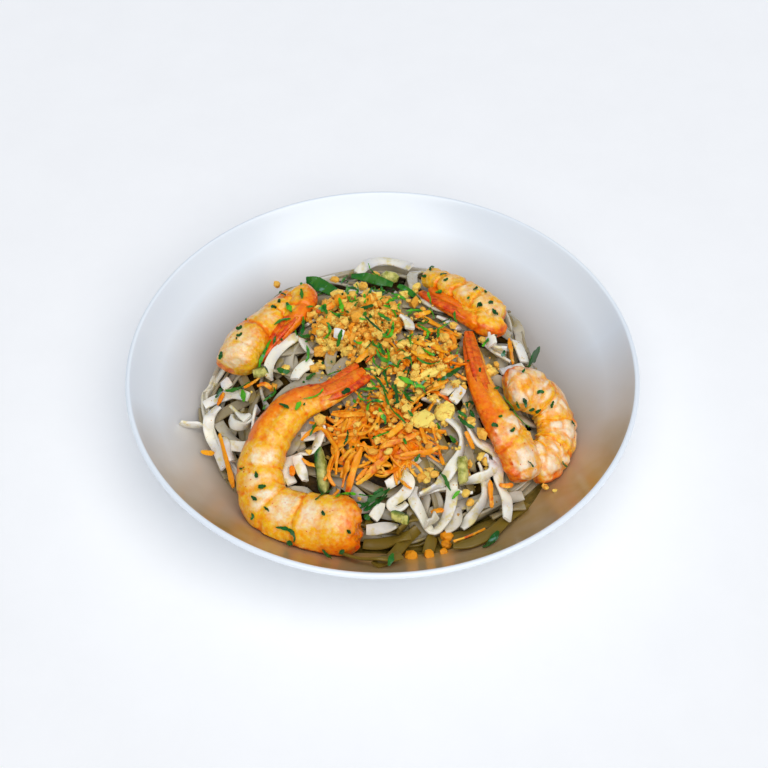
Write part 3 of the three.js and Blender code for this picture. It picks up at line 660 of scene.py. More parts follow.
# how far one is steeped in sauce and darkened as painted shade, where that isn't as usual
steepAndShadeBy = {"footLong": 0.62, "rightStep": 0.4, "footC": 0.5, "flatRight": 0.12}
topNoodles = {  # the ones that stand out, lowest first
    "flatRight": ([(524, 495), (509, 498), (496, 500), (482, 503), (465, 506)], 0),
    "fallRight": ([(478, 462), (484, 473), (486, 487), (484, 498), (475, 510), (468, 521), (460, 528)], 15),
    "longRight": ([(466, 424), (470, 431), (478, 443), (489, 449), (497, 455), (498, 467), (498, 479),
                   (502, 490), (507, 500), (507, 521)], 25),
    "behindLoop": ([(457, 505), (457, 519), (451, 526), (443, 530)], 30),
    "bendRight": ([(484, 445), (491, 453), (494, 463), (491, 470), (482, 476), (473, 479), (459, 483)], 70),
    "crossBar": ([(418, 494), (436, 490), (447, 487), (459, 487), (474, 488)], 75),
    "looped": ([(456, 466), (452, 482), (452, 495), (448, 514), (441, 526), (433, 533), (426, 524),
                (419, 510), (412, 497), (414, 486)], 10),
    "sCurve": ([(447, 418), (455, 424), (461, 433), (462, 444), (459, 455), (451, 469), (444, 479),
                (434, 487), (418, 494)], 60),
    "edgeShort": ([(438, 490), (430, 501), (426, 511)], 75),
    "pale": ([(420, 456), (410, 463), (402, 472), (394, 481), (385, 486)], 35),
    "folded": ([(402, 471), (408, 474), (410, 482), (406, 491), (397, 499), (389, 505), (394, 511),
                (402, 509), (408, 505)], 20),
    "dropA": ([(381, 500), (378, 510), (372, 519)], 10),
    "leftTop": ([(203, 406), (215, 400), (228, 395), (234, 393), (250, 398)], 5),
    "leftTip": ([(179, 422), (188, 425), (201, 426), (214, 429)], 60),
    "leftFall": ([(220, 406), (212, 413), (208, 423), (210, 434), (215, 444), (220, 457), (225, 469)], 10),
    "leftCurl": ([(231, 416), (232, 424), (240, 426), (250, 423), (252, 416)], 60),
    "leftMid": ([(231, 409), (238, 414), (249, 419)], 20),
    "leftBar": ([(222, 435), (233, 431), (249, 430)], 5),
    "leftEdge": ([(221, 437), (227, 448), (233, 459)], 60),
    "leftBehind": ([(258, 404), (253, 414), (251, 425)], 40),
    "innerBar": ([(300, 437), (313, 436), (327, 437)], 10),
    "innerArc": ([(300, 455), (311, 458), (320, 450), (325, 441)], 45),
    "innerA": ([(283, 464), (295, 460), (302, 458)], 0),
    "innerB": ([(276, 463), (286, 474), (293, 485)], 5),
    "innerC": ([(297, 465), (302, 476), (306, 485)], 10),
    "backWide": ([(356, 274), (364, 267), (376, 264), (392, 265), (412, 269)], -40),
    "backArc": ([(342, 294), (350, 291), (361, 290), (372, 294), (378, 300)], 25),
    "rightA": ([(483, 340), (492, 351), (504, 359), (512, 363)], 20),
    "rightB": ([(490, 334), (492, 347), (508, 351)], 40),
    "rightC": ([(515, 340), (521, 351), (525, 363)], 15),
    "backLoop": ([(299, 336), (288, 341), (278, 350), (271, 360), (268, 370), (270, 380)], 25),
    "backLoopB": ([(301, 338), (307, 349), (312, 353)], 50),
    "backLoopC": ([(314, 362), (305, 366), (298, 372), (294, 380)], 15),
    "backBranch": ([(305, 326), (317, 318), (334, 313)], 30),
    "backDrop": ([(316, 328), (320, 334), (323, 340)], 20),
    "rightTop": ([(437, 316), (448, 321), (460, 330)], 20),
    "rightStub": ([(490, 335), (491, 340), (493, 346)], 10),
    "rightUnder": ([(499, 372), (511, 371), (525, 365)], 10),
    "leftStub": ([(224, 379), (226, 384), (229, 388)], 0),
    "midThin": ([(422, 399), (431, 401), (441, 403)], 60),
    "midWide": ([(443, 395), (450, 387), (457, 383)], 10),
    "midWideB": ([(452, 402), (458, 394), (463, 387)], 10),
    "footGrey": ([(365, 526), (381, 526), (399, 526)], 10),
}


def startPlace(reach):
    return around(reach * math.sqrt(rng.random()), anyTurn())


def noodleLength():
    return rng.uniform(noodle["shortest"], noodle["longest"])


def wander(x, y, heading, length):  # a noodle's route from a place, turned back in at the heap's edge
    run = np.arange(0, length, 1.0)
    phase = anyPhase(3)
    turnRate = noodle["curl"] * (0.8 * np.sin(run / 9 + phase[0]) + 0.7 * np.sin(run / 21 + phase[1])
                                 + 0.35 * np.sin(phase[2]))
    headings = heading + np.cumsum(turnRate)
    plan = np.column_stack([x + np.cumsum(np.cos(headings)), y + np.cumsum(np.sin(headings))])
    radius = np.hypot(plan[:, 0], plan[:, 1])
    limit = coreReach(np.arctan2(plan[:, 1], plan[:, 0])) + 1
    soft = 0.82 * limit
    beyond = np.maximum(radius - soft, 0)
    pressed = np.minimum(radius, soft) + (limit - soft) * (1 - np.exp(-beyond / (limit - soft)))
    return plan * (pressed / (radius + 1e-6))[:, None]


def buriedNoodle():  # one that threads through the heap a few millimetres down
    plan = wander(*startPlace(heap["edge"]), anyTurn(), noodleLength())
    radii = np.hypot(plan[:, 0], plan[:, 1])
    run = np.arange(len(plan))
    depth = rng.uniform(*noodle["buriedDepth"])
    depth = depth + 1.6 * np.sin(run / rng.uniform(7, 13) + anyPhase())
    roll = rng.uniform(-0.6, 0.6) + 0.5 * np.sin(run / rng.uniform(9, 16))
    strip = laid(ground, plan, noodle["width"], noodle["thickness"], roll)
    z = heapHeight(radii) - depth * np.sqrt(1 + heapSlope(radii) ** 2)
    strip["path"][:, 2] = smoothed(np.maximum(z, wallHeight(radii) + 1.4), 3)
    return strip


def sideNoodle(layer):  # one that lies round the heap's steep side, where its edge is drawn in
    steps = noodle["sideSteps"]
    turns = anyTurn() + np.linspace(-0.5, 0.5, steps) * rng.uniform(0.5, 1.2)
    turns = np.arctan2(np.sin(turns), np.cos(turns))
    sway = 0.4 * np.sin(np.linspace(0, 9, steps) + anyPhase())
    radii = coreReach(turns) - 2.6 + 2.4 * layer + sway
    foot, top = wallHeight(radii) + 2.5, heapHeight(radii) - heap["bed"]
    share = rng.random() + 0.3 * np.sin(np.linspace(0, rng.uniform(2, 6), steps) + anyPhase())
    outward = np.column_stack([np.cos(turns), np.sin(turns), np.zeros(steps)])
    path = outward * radii[:, None]
    path[:, 2] = foot + np.maximum(top - foot, 0) * np.clip(share, 0, 1)
    roll = math.pi / 2 - 0.25 + rng.uniform(-0.15, 0.15) + 0.12 * np.sin(np.linspace(0, 6, steps))
    return {"path": path, "across": outward, "over": np.tile((0.0, 0.0, 1.0), (steps, 1)), "roll": roll}


def seenNoodle(layer, route, roll):  # one that follows its own route, twisting a little
    steps = np.arange(len(throughPoints(route, view["routeStep"])))
    twist = math.radians(roll) * (1 + 0.25 * np.sin(steps / 7))
    strip = laidInView(layer, route, noodle["width"], noodle["thickness"], twist)
    addToPile(layer, strip)
    return strip


def makeNoodles():
    strips, tints = [], []
    for _ in range(noodle["buried"]):
        strips.append(buriedNoodle())
        # buried noodles, seen only through gaps, are darkened as painted shade
        tints.append(rng.uniform(*noodle["buriedShade"]))
    for strip in strips:
        addToPile(ground, strip)
    while len(strips) < noodle["buried"] + noodle["sides"]:
        strip = sideNoodle((len(strips) - noodle["buried"]) / noodle["sides"])
        radius = math.hypot(*strip["path"][noodle["sideSteps"] // 2, :2])
        if heapHeight(radius) - wallHeight(radius) > noodle["lowestSide"]:
            strips.append(strip)
            tints.append(rng.uniform(*noodle["sideTint"]))
    for _ in range(noodle["tries"]):
        if len(strips) >= noodle["fillers"] + noodle["sides"] + noodle["buried"]:
            break
        place, length = startPlace(noodle["reach"]), noodleLength()
        plan = wander(*place, anyTurn(), length)
        run = np.linspace(0, length / 14, len(plan))
        roll = rng.uniform(0, 1.3) * np.sin(run + anyPhase()) ** 3
        strip = laid(ground, plan, noodle["width"] * rng.uniform(0.88, 1.06), noodle["thickness"], roll)
        radii = np.hypot(plan[:, 0], plan[:, 1])
        gap = np.where(inMound(plan[:, 0], plan[:, 1]), noodle["moundGap"], noodle["topGap"])
        allowed = heapHeight(radii) - gap
        if np.quantile(strip["path"][:, 2] + strip["tall"] - allowed, 0.85) > 0:
            continue
        addToPile(ground, strip)
        strips.append(strip)
        # filler noodles get a little sauce tone, partly painted warm shade for the gaps
        tints.append(0.08 + 0.35 * rng.random() ** 2)
    print(len(strips), "noodles laid by rule")
    for routes, tint in ((lowNoodles, 0.85), (topNoodles, 0.0)):
        for name, (route, roll) in routes.items():
            strips.append(seenNoodle(ground, route, roll))
            tints.append(steepAndShadeBy.get(name, tint))
    return strips, tints


noodleStrips, noodleSteepAndShade = makeNoodles()
noodleTemplate = stripTemplate(noodle["width"], noodle["thickness"], noodle["rounding"], noodle["steps"])


def noodlePiece(name, strips, tints):
    copies = [bentCopy(noodleTemplate, strip, *noodle["ends"]) for strip in strips]
    steepAndShadeShares = []
    for strip, tint in zip(strips, tints):  # lower and farther out means more steeped in sauce and more painted shade
        x, y, z = strip["path"].mean(0)
        low = smoothStep(20, 4, z - wallHeight(math.hypot(x, y))) * smoothStep(-35, -75, y)
        steepAndShadeShares.append(min(1.0, 0.9 * tint + 0.5 * low + rng.uniform(0, 0.1)))
    edge = np.abs(noodleTemplate[0][:, 0]) / (noodle["width"] / 2)
    values = {"tint": perCopy(copies, steepAndShadeShares), "edge": np.tile(edge, len(copies))}
    finishPiece(name, copies, noodleSkin, [], values)


middle = len(noodleStrips) // 2
noodlePiece("noodlesLower", noodleStrips[:middle], noodleSteepAndShade[:middle])
noodlePiece("noodlesUpper", noodleStrips[middle:], noodleSteepAndShade[middle:])
print("noodles made:", len(noodleStrips))

# prawns: each a body sweep and a tail sweep, head end first; half is half the depth, flat how much
# narrower it is, creases and faint where its segments meet and tailFrom where the tail begins, all as
# shares of the length; window is where the pale flesh shows, in degrees from the inside of the curl;
# blades are start, offset at both ends, width, lift and redness
prawnForm = {"sides": 72, "rings": 190, "blunt": 0.62, "crease": 0.75, "creaseWidth": 0.9, "bandWidth": 2.4,
             "sink": 2.2}
prawns = {
    "prawn_front": {
        "sweeps": [{
            "route": [(-8.5, -78.5), (-21, -78), (-36, -73.5), (-47, -66.5), (-50, -54), (-46, -42.5),
                      (-43.5, -38.5), (-34.5, -29.5), (-20, -23.5), (-8, -13.5)],
            "half": (12.6, 12.4, 11.6, 11, 10.2, 9.3, 8.8, 7.2, 5.2, 4.4),
            "flat": (0.72, 0.76, 0.76, 0.78, 0.8, 0.8, 0.76, 0.6, 0.45, 0.32),
            "creases": (0.207, 0.323, 0.409, 0.474, 0.556), "faint": (0.724, 0.797), "tailFrom": 0.545,
        }],
        "window": (30, 88), "billow": 0.35, "lump": 8.5, "ragged": 2.6, "seed": 1,
        "paleness": 0.9, "warm": (1.0, 0.25, 0, 0, 0, 0, 0, 0.1), "clear": (0.1, 0.9, 1, 1, 1, 1),
        "pinkness": 0.0, "redness": 1.0,
        "blades": [(0.74, 1.2, 4.2, 5.0, 0.1, 0.9), (0.72, 0, 0.2, 5.5, 0.8, 0.45),
                   (0.74, -1.2, -4.2, 5.0, 0.2, 0.7)],
    },
    "prawn_right": {
        "sweeps": [{
            "route": [(52, -19), (60.5, -16.5), (69, -18), (73, -25), (72.5, -34.5), (67.5, -43),
                      (61.5, -46.5)],
            "half": (9.6, 9.8, 9.4, 9.4, 9.2, 9, 8.6), "flat": (0.76, 0.78, 0.8),
            "creases": (0.3, 0.5, 0.72), "faint": (0.15, 0.88), "tailFrom": 9,
        }, {
            "route": [(61, -53), (55, -43.5), (46.5, -30), (41, -16), (38.5, -1), (37, 12)],
            "half": (8.6, 8.6, 7.4, 6.2, 5, 3), "flat": (0.84, 0.76, 0.6, 0.46, 0.4),
            "creases": (0.2,), "faint": (0.36,), "tailFrom": 0.3,
        }],
        "window": (5, 158), "billow": 0.9, "lump": 8.0, "ragged": 1.0, "seed": 2,
        "paleness": 0.9, "warm": (0.0, 0, 0.1), "clear": (1,), "pinkness": 0.35, "redness": 0.6,
        "blades": [(0.42, -1.4, -0.8, 4.0, 0.1, 0.85), (0.36, 1.6, 0.9, 4.2, 0.3, 0.6)],
    },
    "prawn_back_left": {
        "sweeps": [{
            "route": [(-63, -4.5), (-60, 5), (-53.5, 15.5), (-45.5, 25.5), (-38.5, 35.5)],
            "half": (9.6, 10, 8, 7, 6.4), "flat": (0.78, 0.8, 0.8),
            "creases": (0.42, 0.68), "faint": (0.2, 0.88), "tailFrom": 0.8,
        }, {
            "route": [(-37.5, 36.5), (-34.5, 30.5), (-36.5, 23), (-41, 16.5), (-47.5, 7.5), (-53.5, -1.5)],
            "half": (6.4, 6.2, 6, 5, 3.6, 2.2), "flat": (0.8, 0.7, 0.55, 0.45, 0.4), "lift": 1.8,
            "creases": (0.3,), "faint": (0.45,), "tailFrom": 0,
        }],
        "window": (15, 120), "billow": 0.3, "lump": 8.5, "ragged": 0.6, "seed": 3,
        "paleness": 0.65, "warm": (0.1, 0, 0.8, 0.1, 0.5, 1.0), "clear": (0.9, 1, 0.1, 0.7, 0.1, 0),
        "pinkness": 0.0, "redness": 0.6,
        "blades": [(0.22, -2.6, -0.7, 4.2, 0.2, 0.8), (0.22, 2.2, 0.7, 4.2, 0.5, 0.9)],
    },
    "prawn_back_right": {
        "sweeps": [{
            "route": [(19, 50.5), (26, 45), (35, 37), (43.5, 29), (50, 20.5)],
            "half": (5.2, 6, 6.8, 7.4, 7.2), "flat": (0.8, 0.84, 0.86),
            "creases": (0.24, 0.46, 0.7), "faint": (0.88,), "tailFrom": 9,
        }, {
            "route": [(50.5, 21), (46.5, 18), (38.5, 21), (31.5, 26), (25, 31), (19, 37.5)],
            "half": (6.4, 6, 5.2, 4.8, 4.6, 3.4), "flat": (0.84, 0.76, 0.6, 0.45, 0.4),
            "creases": (0.3,), "faint": (), "tailFrom": 0.3, "clear": (1, 1, 0.6, 0), "warm": (0, 0, 0.2),
        }],
        "window": (15, 95), "billow": 0.4, "lump": 7.0, "ragged": 0.8, "seed": 4,
        "paleness": 0.6, "warm": (0.4, 0.3, 0.2, 0.1, 0.1), "clear": (0.3, 0.6, 1, 1),
        "pinkness": 0.0, "redness": 0.6,
        "blades": [(0.3, 2.2, 3.2, 5.4, 0.5, 0.25), (0.3, -2.2, -3.0, 5.2, 0.3, 0.85)],
    },
}


def evenList(values, t):  # values listed at even steps, read at t from 0 to 1
    return np.interp(t, np.linspace(0, 1, len(values)), values) if len(values) > 1 else values[0]


def billowAt(points, size):  # rounded lumps with sharp valleys between them, from 0 to 1
    drift = np.column_stack([noiseAt(points, 5.0, k) for k in (3, 7, 11)])
    gaps = [noise.voronoi(Vector(p) / size)[0] for p in points + 3.0 * drift]
    return smoothStep(0, 0.55, np.array([g[1] - g[0] for g in gaps]))


def sweptSpine(sweep):
    plan = throughPoints(sweep["route"], 0.5)
    line = np.linspace(0, 1, len(plan))
    radius = np.hypot(plan[:, 0], plan[:, 1])
    thick = evenList(sweep["half"], line) * evenList(sweep["flat"], line)
    spineZ = heapHeight(radius) + (thick - prawnForm["sink"]) * np.sqrt(1 + heapSlope(radius) ** 2)
    return line, np.column_stack([plan, smoothed(spineZ, 6) + sweep.get("lift", 0)])


def sweptFlesh(sweep, spec, seed):  # a ball drawn out along the route, creased between its segments
    corners, faces = ballTemplate(bmesh.ops.create_uvsphere, u_segments=prawnForm["sides"],
                                  v_segments=prawnForm["rings"])
    turn = np.arccos(np.clip(corners[:, 2], -1, 1)) / math.pi
    t = turn - prawnForm["blunt"] * np.sin(2 * math.pi * turn) / (2 * math.pi)
    u = np.minimum(1, np.hypot(corners[:, 0], corners[:, 1]) * 2.2)
    roundness = np.sqrt(1 - (1 - u) ** 2)
    angle = np.arctan2(corners[:, 1], corners[:, 0])  # 0 is the inside of the curl, a half turn the outside
    line, middleLine = sweptSpine(sweep)
    length = np.linalg.norm(np.diff(middleLine, axis=0), axis=1).sum()
    rows = np.column_stack([middleLine, normalised(np.gradient(middleLine, axis=0))])
    row = np.column_stack([np.interp(t, line, rows[:, k]) for k in range(6)])
    middle, along = row[:, :3], row[:, 3:]
    across = normalised(np.cross(along, heapNormal(middle[:, 0], middle[:, 1])))
    over = np.cross(across, along)
    waist = middleLine[len(middleLine) // 2]
    bend = np.cross(waist - middleLine[0], middleLine[-1] - waist)[2]
    inward = -1 if bend > 0 else 1  # the inside of the curl is the side the route turns to
    outer = 0.5 - 0.5 * np.cos(angle) * inward
    skin = np.column_stack([t * length, np.cos(angle) * 8, np.sin(angle) * 8])
    drift = 1.6 * noiseAt(skin, 6.0, seed * 1.3) + 0.7 * noiseAt(skin, 2.0, seed)
    shingle, groove, band = np.zeros(len(t)), np.zeros(len(t)), np.zeros(len(t))
    for crease, strength in [(at, 1.0) for at in sweep["creases"]] + [(at, 0.45) for at in sweep["faint"]]:
        away = (t - crease) * length + drift - 1.2 * np.sin(angle) + 1.4 * outer
        groove += strength * np.exp(-(away / prawnForm["creaseWidth"]) ** 2)
        band += strength * np.exp(-((away + 0.8) / prawnForm["bandWidth"]) ** 2)
        shingle += strength * np.interp(away, [-9, -1.2, 0, 1.6, 8], [0, 0.55, -0.5, 0.35, 0])
    lump = noiseAt(skin, 7.0, seed * 3.1)
    fine = noiseAt(skin, 1.8, seed)
    isTail = smoothStep(sweep["tailFrom"] - 0.03, sweep["tailFrom"] + 0.06, t)
    billow = billowAt(skin + seed * 17, spec["lump"]) * (1 - isTail)
    spine = isTail * np.exp(-(np.cos(angle) / 0.2) ** 2)  # the tail's two halves meet in a groove
    lumps = (0.5 - 0.3 * isTail) * lump + 0.2 * fine + spec["billow"] * (billow - 0.6) \
        + prawnForm["crease"] * shingle - 0.6 * spine
    depth = evenList(sweep["half"], t) + lumps
    wide = evenList(sweep["half"], t) * evenList(sweep["flat"], t) + lumps
    points = middle + across * (depth * roundness * np.cos(angle))[:, None] \
        + over * (wide * roundness * np.sin(angle))[:, None]
    torn = smoothStep(0.1, 0.0, t) * (noiseAt(points, 4.5, seed) + 0.35 * noiseAt(points, 1.8, seed))
    points += normalised(along) * (spec["ragged"] * torn)[:, None]
    rest = supportHeight(np.hypot(points[:, 0], points[:, 1]))
    points[:, 2] = np.maximum(points[:, 2], rest)
    stain = stainOf(points, t, outer, groove, band, billow, np.sin(angle), isTail, {**spec, **sweep}, seed)
    return points, faces, stain, np.sin(angle)


def stainOf(points, t, outer, groove, band, billow, up, isTail, spec, seed):
    # shares of yellow, orange and red over the pale flesh, for every corner; towards the outer, lower edge
    # they are partly sauce stain and partly painted shade
    low, high = (0.5 - 0.5 * math.cos(math.radians(a)) for a in spec["window"])
    broad, patch = noiseAt(points, 8.0, seed * 2.3), noiseAt(points, 3.2, seed * 5.7)
    speck = noiseAt(points, 1.2, 3)
    window = smoothStep(low - 0.08, low + 0.14, outer) * smoothStep(high + 0.2, high - 0.12, outer)
    pale = window * smoothStep(0.0, 0.4, up) * (1 - np.clip(1.2 * band, 0, 1)) * (1 - isTail)
    pale *= evenList(spec["clear"], t)
    pale = np.clip(pale * (1.15 + 1.1 * patch + 0.6 * broad) - 0.2 * speck, 0, 1) * spec["paleness"]
    valley = smoothStep(0.5, 0, billow + 0.3 * patch)  # the stain gathers between the lumps of flesh
    pale *= 1 - 0.7 * spec["billow"] * valley
    yellow = 1 - pale
    fromWaist = np.clip(isTail * 0.5 + smoothStep(0, 1, t) * isTail * 0.9, 0, 1)
    # more orange towards the outer, lower edge: sauce stain, and painted shade for that side
    orangeStainAndShade = fromWaist * (0.5 + 0.75 * outer) + 0.8 * smoothStep(0.5, 1, outer) + 0.75 * groove \
        + 0.35 * broad + 0.25 * patch + 0.2 * speck - 0.2 * (up > 0.5) \
        + evenList(spec["warm"], t) * (1 - isTail)
    orange = smoothStep(0.3, 1.0, orangeStainAndShade)
    # red on the tail, and at the outer, lower edge, where it is partly painted shade
    redStainAndShade = 0.75 * fromWaist * smoothStep(0.6, 0.95, t) * isTail + 0.55 * patch \
        + 0.9 * smoothStep(0.65, 1, outer) - 0.05 + 0.3 * speck
    reds = spec["redness"] * smoothStep(0.62, 1.15, redStainAndShade)
    orange = np.maximum(orange, 0.4 * spec["billow"] * valley)
    return np.column_stack([yellow, orange, reds, np.full(len(t), spec["pinkness"])])


bladeForm = {"thickness": 2.0, "rounding": 0.6, "steps": 26}


def tailBlades(spec):  # the flat blades of the tail fan, along the last part of the tail
    sweep = spec["sweeps"][-1]
    line, spine = sweptSpine(sweep)
    blades = []
    for start, nearOffset, farOffset, width, lift, red in spec["blades"]:
        part = spine[line >= start]
        along = normalised(np.gradient(part, axis=0))
        side = normalised(np.cross(along, heapNormal(part[:, 0], part[:, 1])))
        share = np.linspace(0, 1, len(part))[:, None]
        path = part + side * (nearOffset + (farOffset - nearOffset) * share)
        thick = evenList(sweep["half"], line) * evenList(sweep["flat"], line)
        path[:, 2] += thick[line >= start] * 0.75 + lift - 3.0 * (1 - share[:, 0]) ** 3
        along = normalised(np.gradient(path, axis=0))
        across = normalised(np.cross(along, heapNormal(path[:, 0], path[:, 1])))
        strip = {"path": path, "across": across, "over": np.cross(across, along), "roll": 0 * share[:, 0]}
        template = stripTemplate(width, bladeForm["thickness"], bladeForm["rounding"], bladeForm["steps"])
        points, faces = bentCopy(template, strip, 0.45, 0.04)
        streak = noiseAt(points * (1, 1, 0.3), 2.2, width)
        plain = np.ones(len(points))
        stain = np.column_stack([plain, 0.95 * plain, np.clip(red + 0.5 * streak, 0, 1), 0 * plain])
        blades.append((points, faces, stain))
    return blades


prawnTops = ground.copy()  # the pile with the prawns on it


def makePrawn(node, spec):
    copies, stains = [], []
    for i, sweep in enumerate(spec["sweeps"]):
        points, faces, stain, up = sweptFlesh(sweep, spec, spec["seed"] + i)
        copies.append((points, faces))
        stains.append(stain)
        upper = points[up > 0]
        for dx in (-0.5, 0, 0.5):
            for dy in (-0.5, 0, 0.5):
                raiseTo(prawnTops, upper[:, 0] + dx, upper[:, 1] + dy, upper[:, 2])
    for points, faces, stain in tailBlades(spec):
        copies.append((points, faces))
        stains.append(stain)
        raiseTo(prawnTops, points[:, 0], points[:, 1], points[:, 2])
    finishPiece("flesh_" + node, copies, prawnFlesh, [node], {"stain": np.vstack(stains)}, sharp=70)


for node, spec in prawns.items():
    makePrawn(node, spec)
print("prawns made")

# carrot
carrot = {
    "thickness": 1.0, "rounding": 0.25, "steps": 18, "widths": (1.0, 2.4), "seenWidth": 0.85,
    "ends": (0.5, 0.12, 1.6, 0.07), "lie": math.radians(62), "loose": 26, "looseFrom": 15, "looseTo": 72,
    "heaps": {  # which mound, how many shreds, the shortest and the longest
        "carrot_heap_front": ("carrotFront", 84, 11, 28), "carrot_heap_back": ("carrotBack", 44, 9, 22)},
}
carrotRoutes = {  # width, orange to yellow (the yellow partly painted highlight), and the route as seen
    "carrot_heap_front": [
        (2.2, 0.5, [(300, 432), (305, 427), (314, 425), (323, 427), (328, 432), (331, 440),
                   (337, 446), (336, 458), (336, 471)]),
        (2.0, 0.4, [(334, 448), (329, 456), (328, 465), (331, 472), (336, 474)]),
        (1.9, 0.6, [(300, 449), (309, 452), (318, 447), (326, 440)]),
        (2.4, 0.4, [(330, 414), (343, 415), (355, 414), (366, 415)]),
        (1.9, 0.5, [(336, 435), (346, 433), (355, 432), (366, 432), (373, 427), (378, 420),
                   (379, 413)]), (1.8, 0.6, [(342, 432), (345, 424), (348, 418)]),
        (2.0, 0.5, [(357, 436), (350, 445), (343, 454), (339, 460)]),
        (3.2, 0.5, [(362, 438), (358, 449), (354, 457), (350, 468), (345, 486)]),
        (3.0, 0.4, [(348, 454), (345, 468), (342, 484)]),
        (3.3, 0.6, [(389, 450), (380, 457), (371, 466), (364, 475)]),
        (2.2, 0.5, [(368, 459), (362, 466), (355, 473)]),
        (2.5, 0.4, [(379, 448), (389, 443), (400, 440), (412, 436), (420, 432)]),
        (2.6, 0.2, [(393, 450), (403, 453), (414, 451), (427, 452)]),
        (3.2, 0.7, [(386, 437), (395, 431), (403, 423)]),
        (2.6, 0.4, [(420, 427), (424, 436), (427, 445)]),
        (2.6, 0.5, [(432, 424), (435, 434), (439, 450), (444, 466)]),
        (2.2, 0.2, [(379, 391), (382, 399), (387, 409), (389, 416)]),
        (2.2, 0.3, [(371, 406), (373, 413)]), (2.0, 0.6, [(355, 480), (364, 477), (371, 472)]),
        (1.8, 0.5, [(329, 486), (336, 481), (339, 477)]),
        (2.4, 0.4, [(399, 455), (414, 452), (436, 447), (449, 447)]),
    ],
    "carrot_heap_back": [
        (3.2, 0.95, [(411, 340), (420, 343), (429, 345), (440, 349), (449, 353)]),
        (2.8, 0.9, [(410, 351), (419, 354), (428, 357), (435, 361)]),
        (2.6, 0.6, [(422, 316), (433, 323), (443, 328), (460, 337)]),
        (2.6, 0.9, [(414, 317), (423, 314), (432, 311)]),
        (2.4, 0.05, [(414, 327), (424, 330), (433, 336)]), (2.2, 0.5, [(450, 350), (458, 345)]),
        (2.4, 0.3, [(443, 362), (450, 358), (459, 355)]),
        (3.2, 0.6, [(425, 394), (433, 388), (443, 382), (449, 379)]),
        (2.0, 0.9, [(407, 410), (412, 404), (419, 398), (425, 394)]),
        (2.2, 0.4, [(435, 365), (445, 366)]), (2.0, 0.5, [(436, 373), (445, 370)]),
        (3.0, 0.85, [(355, 363), (364, 355), (374, 347), (383, 341)]),
        (2.4, 0.2, [(365, 363), (375, 352), (386, 340)]), (2.2, 0.6, [(375, 319), (381, 328)]),
        (2.2, 0.3, [(386, 334), (394, 330), (402, 325)]),
    ],
    "loose": [
        (3.0, 0.6, [(219, 434), (224, 448), (229, 464), (233, 484)]),
        (2.4, 0.8, [(200, 451), (207, 453), (215, 453)]),
        (2.2, 0.4, [(509, 335), (511, 350), (513, 365)]),
        (2.4, 0.4, [(490, 477), (491, 490), (492, 508)]),
        (2.2, 0.0, [(465, 458), (467, 466), (468, 474)]),
        (2.6, 0.4, [(465, 430), (470, 439), (474, 449)]),
        (2.6, 0.3, [(430, 504), (437, 504), (445, 505)]),
        (3.0, 0.1, [(315, 313), (325, 309), (336, 304)]),
        (2.2, 0.3, [(241, 372), (252, 368), (262, 366)]),
        (2.2, 0.2, [(224, 392), (221, 399), (217, 406)]),
        (2.6, 0.2, [(290, 462), (293, 468), (291, 474)]),
        (2.4, 0.3, [(256, 386), (264, 383), (273, 388)]),
        (2.0, 0.5, [(452, 545), (470, 538), (486, 530)]),
        (2.4, 0.1, [(498, 484), (506, 487), (514, 485)]),
    ],
}
carrotTemplate = stripTemplate(1.0, carrot["thickness"], carrot["rounding"], carrot["steps"])
toppings = ground.copy()  # the pile with the toppings on it


def shortRoute(x, y, heading, length, bend):
    run = np.linspace(-0.5, 0.5, max(4, int(length)))
    turn = heading + bend * run
    return np.column_stack([x + length * run * np.cos(turn), y + length * run * np.sin(turn)])


def carrotStrip(x, y, shortest, longest, heading=None):
    heading = rng.uniform(0, math.pi) if heading is None else heading
    plan = shortRoute(x, y, heading, rng.uniform(shortest, longest), rng.normal(0, 1.4))
    strip = laid(toppings, plan, rng.uniform(*carrot["widths"]), carrot["thickness"], rng.uniform(-0.9, 0.9),
                 bridge=5.0, press=0.6, above=rng.uniform(-2.0, 0.8))
    addToPile(toppings, strip)
    return strip


def carrotPiece(name, strips, tints, replaces):
    copies = [bentCopy(carrotTemplate, strip, *carrot["ends"], widen=strip["width"]) for strip in strips]
    finishPiece(name, copies, carrotFlesh, replaces, {"tint": perCopy(copies, tints)}, sharp=35)


def seenCarrots(key):
    strips, tints = [], []
    for width, tint, route in carrotRoutes[key]:
        strip = laidInView(toppings, route, carrot["seenWidth"] * width, carrot["thickness"],
                           rng.uniform(-0.5, 0.5), bridge=5.0, press=0.5)
        addToPile(toppings, strip)
        strips.append(strip)
        tints.append(tint)
    return strips, tints


carrotHeaps = {}
for node, (key, count, shortest, longest) in carrot["heaps"].items():
    carrotHeaps[node] = []
    for i in range(count):
        x, y = moundPlace(key, math.sqrt(rng.random()))
        heading = rng.normal(carrot["lie"], 0.6) if rng.random() < 0.6 else None  # most lie one way
        carrotHeaps[node].append(carrotStrip(x, y, shortest, longest, heading))
print("carrot heaped")

